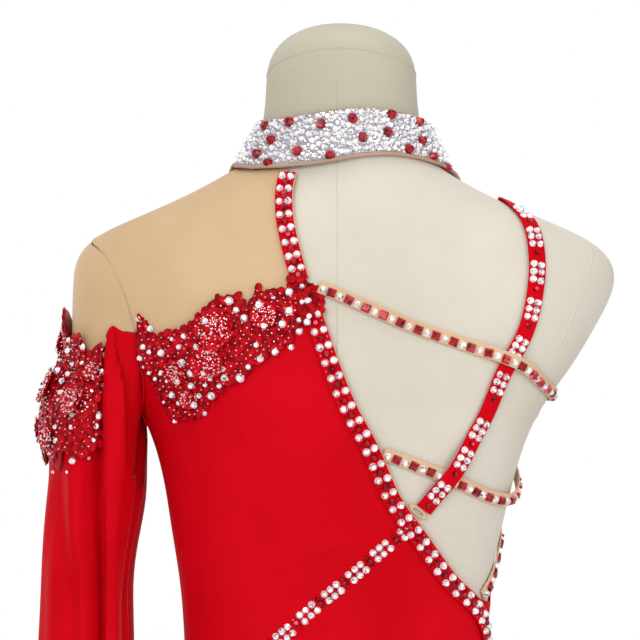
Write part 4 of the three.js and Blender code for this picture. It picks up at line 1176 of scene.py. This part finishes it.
# %% Stones on the collar
COLLAR_RED_SEEN = [  # picture points, read from the photograph
    (265, 126), (289, 122), (321, 124), (353, 118), (391, 110), (419, 121), (271, 140), (363, 137),
    (388, 132), (422, 141), (297, 151), (257, 154), (330, 155), (268, 163), (409, 149), (433, 157),
    (447, 168),
]
RED_RADIUS = 4.2
RED_HIGHEST = 0.91  # as a share of the collar's height
STONE_SIZES = [  # radius, how many are tried, whether red
    (RED_RADIUS, 40, True), (2.7, 200, False), (2.1, 800, False), (1.5, 2000, False),
    (1.0, 3200, False),
]
TRIES = 6
COLLAR_RADIUS = 72  # millimetres, to turn an angle into a length
COLLAR_ROUND = 2 * math.pi * COLLAR_RADIUS
COLLAR_TALL = 38
BINDING_TALL = 2.6

laid = []  # across, up, radius, whether red


def fits(across, up, radius):
    """Whether a stone keeps clear of those already laid."""
    if not laid:
        return True
    taken = np.array([stone[:3] for stone in laid])
    off = np.abs(taken[:, 0] - across)
    off = np.minimum(off, COLLAR_ROUND - off)
    clear_by = (taken[:, 2] + radius) * 0.96
    return bool(np.all(off ** 2 + (taken[:, 1] - up) ** 2 > clear_by ** 2))


for px, py in COLLAR_RED_SEEN:
    place, _ = seen_on(collar_tree, px, py)
    if place is not None:
        turn = turn_of(place, FORM_AXIS)
        low, high = collar_height(turn, 0), collar_height(turn, 1)
        up = min((place.z / MM - low) / (high - low), RED_HIGHEST) * COLLAR_TALL
        laid.append((turn * COLLAR_RADIUS % COLLAR_ROUND, up, RED_RADIUS, True))
for radius, tries, is_red in STONE_SIZES:
    for _ in range(tries * TRIES):
        across = chance.uniform(0, COLLAR_ROUND)
        up = chance.uniform(radius + BINDING_TALL, COLLAR_TALL - radius + 0.2)
        if is_red and (math.cos(across / COLLAR_RADIUS) > -0.3 or not fits(across, up, 9)):
            continue
        if fits(across, up, radius):
            laid.append((across, up, radius * chance.uniform(0.94, 1.04), is_red))

clear, red = bmesh.new(), bmesh.new()
for across, up, radius, is_red in laid:
    place, out = collar_spot(across / COLLAR_RADIUS, up / COLLAR_TALL)
    set_stone(red if is_red else clear, place, out, Vector((0, 0, 1)), radius,
              sides=8 if radius > 1.6 else 6)
clear_and_red("collar", clear, red)
print(len(laid), "stones on the collar")

# %% [markdown]
# ## Lace
#
# Bridal lace is embroidered leaves and flowers on net, cut out along its motifs, so its edge is
# scalloped. The CAD piece gives the net with its raised flowers. Leaves and petals are sewn on top:
# each one is a small grid bent to a leaf, and hundreds of them cover the net and hang over its edge.

# %% Lace net
lace_nets = {name: dressed(name, f"{name}_net", lace_ground)
             for name in ("lace_back", "lace_front", "lace_sleeve")}


def spot_arm(tree, turn, z):
    """A place on the sleeve, by degrees from its back towards its outer side."""
    angle = math.radians(turn)
    out = Vector((math.sin(angle), math.cos(angle), 0))
    axis = sleeve_axis_at(z * MM) + Vector((0, 0, z * MM))
    return tree.ray_cast(axis + out * 0.15, -out)[:2]


# %% Leaves and petals
def add_leaf(bm, place, out, along, long, wide, curl, cup=0.2, thick=0.5):
    """A round-ended leaf that starts at a place, lies along a direction and curls up at its tip."""
    made = bmesh.ops.create_grid(bm, x_segments=5, y_segments=2, size=0.5)["verts"]
    matrix = frame_at(place, out, along)
    for vert in made:
        run, side = vert.co.x + 0.5, vert.co.y * 2
        half = wide / 2 * math.sin(math.pi * (0.06 + 0.88 * run)) ** 0.6
        rise = 0.35 + curl * run * run + cup * wide * (side * side) * 0.5
        vert.co = matrix @ Vector((run * long * MM, side * half * MM, rise * MM))
    faces = list({face for vert in made for face in vert.link_faces})
    bmesh.ops.solidify(bm, geom=faces, thickness=-thick * MM)


def add_flower(bm, place, out, radius, petals, curl):
    """A ring of petals round a place, with a smaller ring inside it."""
    side = out.orthogonal().normalized()
    for ring_radius, count, lift in ((radius, petals, 0.4), (radius * 0.62, petals - 1, 1.1)):
        start = chance.uniform(0, 2 * math.pi)
        for i in range(count):
            turn = start + 2 * math.pi * i / count + chance.uniform(-0.15, 0.15)
            along = Matrix.Rotation(turn, 3, out) @ side
            add_leaf(bm, place + out * lift * MM, out, along, ring_radius, ring_radius,
                     curl * chance.uniform(0.6, 1.3))


def along_at(out, turn):
    """A direction on the surface, by its angle from upwards."""
    up = Vector((0, 0, 1)) - out * out.z
    up = up.normalized() if up.length > 0.01 else out.orthogonal().normalized()
    return Matrix.Rotation(turn, 3, out) @ up


# %% Where the lace lies
BACK_LACE = [
    (149, 1303, 1277), (144, 1299, 1265), (138, 1289, 1256), (131, 1290, 1240), (124, 1290, 1227),
    (112, 1296, 1228), (101, 1306, 1231), (93, 1312, 1244), (83, 1317, 1253), (74, 1317, 1257),
    (67, 1308, 1262), (61, 1325, 1269), (56, 1318, 1273), (49, 1322, 1277), (42, 1322, 1281),
    (33, 1320, 1292),
]
SLEEVE_LACE = [
    (102, 1284, 1205), (93, 1280, 1208), (84, 1275, 1199), (75, 1288, 1197), (64, 1288, 1204),
    (52, 1283, 1188), (40, 1288, 1192), (26, 1292, 1203), (12, 1300, 1190), (-4, 1308, 1194),
    (-20, 1306, 1204), (-36, 1296, 1188), (-52, 1304, 1198), (-68, 1298, 1206), (-84, 1290, 1192),
    (-100, 1299, 1206),
]


def edge_at(rows, at, column):
    """The height of a lace edge, read between the rows of its table."""
    ordered = sorted(rows)
    return float(np.interp(at, [row[0] for row in ordered], [row[column] for row in ordered]))


BODICE_FLOWERS = [(92, 1293, 15), (98, 1268, 12.5), (56, 1303, 10), (122, 1262, 9), (112, 1242, 7.5)]
FLOWERS = {
    "lace_back": BODICE_FLOWERS,
    "lace_front": BODICE_FLOWERS,
    "lace_sleeve": [(76, 1240, 13), (30, 1250, 13), (-30, 1246, 14), (-72, 1250, 13), (52, 1212, 9),
                    (4, 1216, 10), (-52, 1214, 9), (88, 1262, 9), (4, 1282, 9), (-52, 1286, 9)],
}
LACE_FIELDS = {
    "lace_back": (BACK_LACE, spot_back, 1.0),
    "lace_front": (BACK_LACE, spot_front, 1.0),
    "lace_sleeve": (SLEEVE_LACE, lambda tree, at, z: spot_arm(tree, 90 - at, z), 0.9),
}
LEAF_PITCH = 5.2
EDGE_PITCH = 5.5
CRYSTAL_GAP = 8.6


def scattered(rows, scale, gap, tries, inset=0.0):
    """Places spread over the lace, none nearer to another than the gap."""
    low_at, high_at = min(row[0] for row in rows), max(row[0] for row in rows)
    found = []
    for _ in range(tries):
        at = chance.uniform(low_at, high_at)
        z = chance.uniform(edge_at(rows, at, 2) + inset, edge_at(rows, at, 1) - inset)
        if all(((at - a) * scale) ** 2 + (z - b) ** 2 > gap * gap for a, b in found):
            found.append((at, z))
    return found


# %% Crystals that show in the photograph
# Their places are read from the photograph, in its pixels, with a radius in millimetres.
BACK_CRYSTALS = [
    (138, 319, 2.3), (150, 329, 2.8), (135, 336, 2.0), (172, 339, 2.0), (184, 336, 2.6), (143, 347, 2.5),
    (149, 352, 2.1), (133, 351, 3.1), (161, 353, 3.1), (140, 358, 2.5), (179, 347, 2.5), (205, 321, 2.5),
    (229, 301, 3.4), (236, 310, 2.5), (244, 318, 3.0), (196, 347, 2.5), (182, 363, 3.2), (144, 367, 1.5),
    (149, 373, 1.7), (161, 373, 2.2), (155, 379, 1.7), (177, 382, 2.5), (167, 381, 1.7), (191, 373, 3.4),
    (203, 374, 1.7), (210, 379, 1.8), (191, 386, 2.8), (205, 385, 2.0), (219, 386, 2.1), (172, 395, 2.8),
    (199, 396, 2.2), (211, 396, 3.1), (164, 402, 1.5), (179, 403, 2.3), (194, 405, 2.8), (204, 413, 2.5),
    (175, 421, 2.0), (222, 369, 2.5), (224, 378, 2.8), (240, 378, 3.6), (248, 367, 2.2), (260, 359, 2.8),
    (275, 352, 2.8), (291, 347, 2.5), (256, 345, 2.2), (299, 331, 3.1), (264, 326, 2.8), (282, 324, 3.1),
    (259, 305, 3.3), (289, 292, 3.1), (289, 311, 3.6), (273, 297, 2.2), (302, 302, 2.0), (308, 301, 3.0),
    (302, 286, 2.0), (307, 322, 2.8), (299, 320, 2.2),
]
SLEEVE_CRYSTALS = [
    (69, 340, 2.3), (68, 351, 2.8), (60, 360, 1.7), (72, 364, 2.2), (82, 363, 2.0), (58, 371, 3.2),
    (68, 374, 2.5), (62, 381, 2.8), (104, 355, 2.3), (105, 341, 2.8), (83, 347, 2.5), (42, 388, 2.5),
    (61, 393, 3.0), (92, 391, 1.7), (72, 404, 2.0), (72, 414, 2.6), (98, 416, 3.4), (96, 426, 2.2),
    (71, 427, 2.3), (55, 427, 2.0), (56, 441, 2.5), (93, 440, 2.2), (103, 434, 2.5), (72, 461, 2.8),
    (89, 458, 1.5), (53, 472, 1.6), (67, 472, 1.4), (50, 453, 1.7), (102, 385, 1.7), (102, 371, 2.0),
    (58, 400, 1.6),
]

# %% Sew the lace
LACE_UNDER = {
    "lace_back": (
        "bodice_back_jersey", "edge_trim_back_band", "neck_strap_back_band", "yoke_back_mesh"),
    "lace_front": (
        "bodice_front_jersey", "edge_trim_front_band", "neck_strap_front_band", "yoke_front_mesh"),
    "lace_sleeve": ("sleeve_jersey", "sleeve_cap_mesh"),
}
SLEEVE_BEADS_END = 95  # beyond it the pleat lies over the lace
BEHIND_TRIM = [(37, 1330, 1292), (28, 1331, 1298), (20, 1323, 1304), (14, 1320, 1308)]  # the lace's end


def sew_leaf(bm, place, out, facing, long, share=0.5, curl=(0.2, 0.7), wide=(0.5, 0.7)):
    """A leaf of one length, turned from upwards by an angle and drawn back by a part of its length."""
    along = along_at(out, facing)
    add_leaf(bm, place - along * long * share * MM, out, along, long, long * chance.uniform(*wide),
             chance.uniform(*curl))


def sew_stones(bm, tree, cloth, spot, places, lift, radii, sides=8):
    """Stones on the outermost surface, level with the cloth; each place may have its own radius."""
    for at, z, *own in places:
        hit, _ = spot(tree, at, z)
        if hit is not None:
            out = cloth.find_nearest(hit)[1]
            radius = own[0] if own else chance.uniform(*radii)
            height = 0.6 if sides < 6 else 0.36
            set_stone(bm, hit + out * lift * MM, out, Vector((0, 0, 1)), radius, sides, height)


for name, (rows, spot, scale) in LACE_FIELDS.items():
    net = tree_of(lace_nets[name])
    leaves, blooms = bmesh.new(), bmesh.new()
    for at, z in scattered(rows, scale, LEAF_PITCH, 2400):
        place, out = spot(net, at, z)
        if place is not None:
            sew_leaf(leaves, place, out, chance.uniform(0, 2 * math.pi), chance.uniform(6.5, 10), 0.4)
    for at in np.arange(min(r[0] for r in rows), max(r[0] for r in rows), EDGE_PITCH / scale):
        for column, facing, inset in ((1, 0.0, 2.0), (2, math.pi, -2.0)):
            place, out = spot(net, at, edge_at(rows, at, column) - inset)
            if place is not None:
                sew_leaf(leaves, place, out, facing + chance.uniform(-0.5, 0.5), chance.uniform(5, 7), 0.35,
                         (0, 0.3), (0.85, 1.1))
    for at, z, radius in FLOWERS[name]:
        place, out = spot(net, at, z)
        if place is not None:
            add_flower(blooms, place, out, radius, 7, 2.2)
    if name != "lace_sleeve":
        below = tree_of(form_cover, *(bpy.data.objects[under] for under in LACE_UNDER[name]))
        for x, z in scattered(BEHIND_TRIM, 1.0, 3.2, 700):
            place, out = spot(below, x, z)
            if place is not None:
                out = form_tree.find_nearest(place)[1]
                sew_leaf(leaves, place + out * 0.5 * MM, out, chance.uniform(0, 2 * math.pi), 7.5, 0.5,
                         wide=(0.75, 0.95))
    for bm in (leaves, blooms):
        bmesh.ops.recalc_face_normals(bm, faces=bm.faces)
        add_weave_uv(bm)
    leaf_piece = piece(f"{name}_leaves", leaves, lace_thread)
    bloom_piece = piece(f"{name}_flowers", blooms, petal_satin)

    cloth = bpy.data.objects[LACE_UNDER[name][0]]
    top = tree_of(lace_nets[name], leaf_piece, bloom_piece, cloth)
    level = tree_of(cloth, cap) if name == "lace_sleeve" else form_tree
    beads, clear = bmesh.new(), bmesh.new()
    for at, z, radius in FLOWERS[name]:
        dots = []
        for _ in range(int(radius * 6)):
            turn, far = chance.uniform(0, 2 * math.pi), radius * 0.85 * math.sqrt(chance.random())
            dots.append((at + far * math.cos(turn) / scale, z + far * math.sin(turn)))
        sew_stones(beads, top, level, spot, dots, 0.1, (0.55, 0.85), sides=5)
    dots = [(at, z) for at, z in scattered(rows, scale, 3.4, 2400, inset=1.5)
            if name != "lace_sleeve" or at < SLEEVE_BEADS_END]
    sew_stones(beads, top, level, spot, dots, 0.1, (0.5, 0.8), sides=5)
    if name == "lace_sleeve":
        sew_stones(clear, top, level, seen_on, SLEEVE_CRYSTALS, 0.1, None)
        hidden = [(at, z) for at, z in scattered(rows, scale, CRYSTAL_GAP, 2400, inset=0.5) if at < 14]
        sew_stones(clear, top, level, spot, hidden, 0.3, (1.6, 3.0))
    else:
        seen = seen_on if name == "lace_back" else opposite
        sew_stones(clear, top, level, seen, BACK_CRYSTALS, 0.3, None)
    stones_piece(f"{name}_beads", beads, seed_bead)
    stones_piece(f"{name}_crystals", clear, crystal)

# %% [markdown]
# ## The cloth's cuts
#
# Every sheet of cloth states the size it was cut to. A solid's surface is both faces of its cloth, so
# half of it is the sheet's area. The sleeve and the collar go all round; every other sheet is one side.

# %% Sheets
AREA_DIGITS = {"skirt_back": 2, "skirt_front": 3}  # of a square metre; every other sheet has four


def cut_area(node_name):
    """The area of one face of a solid's cloth, in square metres."""
    area = sum(polygon.area for polygon in frame["nodes"][node_name].data.polygons) / 2
    return round(area, AREA_DIGITS.get(node_name, 4))


# solid, piece, width and length of the cut, how it is held, what it rests on, what is sewn on
CUTS = [
    ("yoke_back", "mesh", 0.18, 0.16, "stretched", "form_cover", []),
    ("yoke_front", "mesh", 0.18, 0.16, "stretched", "form_cover", ["shoulder_seam", "armhole_seam_nude"]),
    ("sleeve_cap", "mesh", 0.15, 0.11, "hung", "yoke_back_mesh", []),
    ("bodice_back", "jersey", 0.3, 0.31, "stretched", "form_cover",
     ["back_line_crystals", "back_line_red_stones"]),
    ("bodice_front", "jersey", 0.35, 0.31, "stretched", "form_cover", ["armhole_seam_red"]),
    ("sleeve", "jersey", 0.37, 0.55, "hung", "sleeve_cap_mesh",
     ["cuff_hem_stitch_10", "cuff_hem_stitch_13"]),
    ("skirt_back", "jersey", 0.74, 0.49, "hung", "bodice_back_jersey",
     ["waist_seam", "skirt_hem_stitch_10", "skirt_hem_stitch_13"]),
    ("skirt_front", "jersey", 0.74, 0.49, "hung", "bodice_front_jersey", []),
    ("collar", "band", 0.46, 0.05, "stretched", "form_cover",
     ["collar_binding_low", "collar_binding_high", "collar_crystals", "collar_red_stones"]),
    ("strap_loop", "elastic", 0.01, 0.014, "stretched", "form_cover", []),
]
for name, wide, long in (("lace_back", 0.13, 0.1), ("lace_front", 0.13, 0.1), ("lace_sleeve", 0.2, 0.12)):
    sewn_on = [f"{name}_{part}" for part in ("leaves", "flowers", "beads", "crystals")]
    CUTS.append((name, "net", wide, long, "laid", LACE_UNDER[name][0], sewn_on))
SHEETS = [(f"{name}_{ending}", wide, long, cut_area(name), held, under, sewn_on)
          for name, ending, wide, long, held, under, sewn_on in CUTS]
NARROWEST = 10  # millimetres; a sheet is stated no narrower
for name, line in lines.items():
    long = (len(line) - 1) * STATION_STEP
    wide = STRAP_THIN if name in THIN_STRAPS else STRAP_WIDE
    sewn_on = [f"{name}_crystals", f"{name}_red_stones"]
    if f"{name}_binding" in bpy.data.objects:
        sewn_on.append(f"{name}_binding")
    SHEETS.append((f"{name}_band", max(wide, NARROWEST) * MM, long, wide * MM * long, "stretched",
                   "form_cover", sewn_on))

print(len(SHEETS), "sheets of cloth")

# %% Finish
for name in ("stand_base", "stand_pole"):
    node = frame["nodes"][name]
    node.data.materials.clear()
    node.data.materials.append(painted_steel)

# where the pole is welded to the base
WELD_Z, POLE_RADIUS = 12.5, 15.2
weld = [Vector((POLE_RADIUS * math.cos(turn), POLE_RADIUS * math.sin(turn), WELD_Z)) * MM
        for turn in np.linspace(0, 2 * math.pi, 48, endpoint=False)]
cord("pole_weld", weld, 1.8 * MM, painted_steel, closed=True)
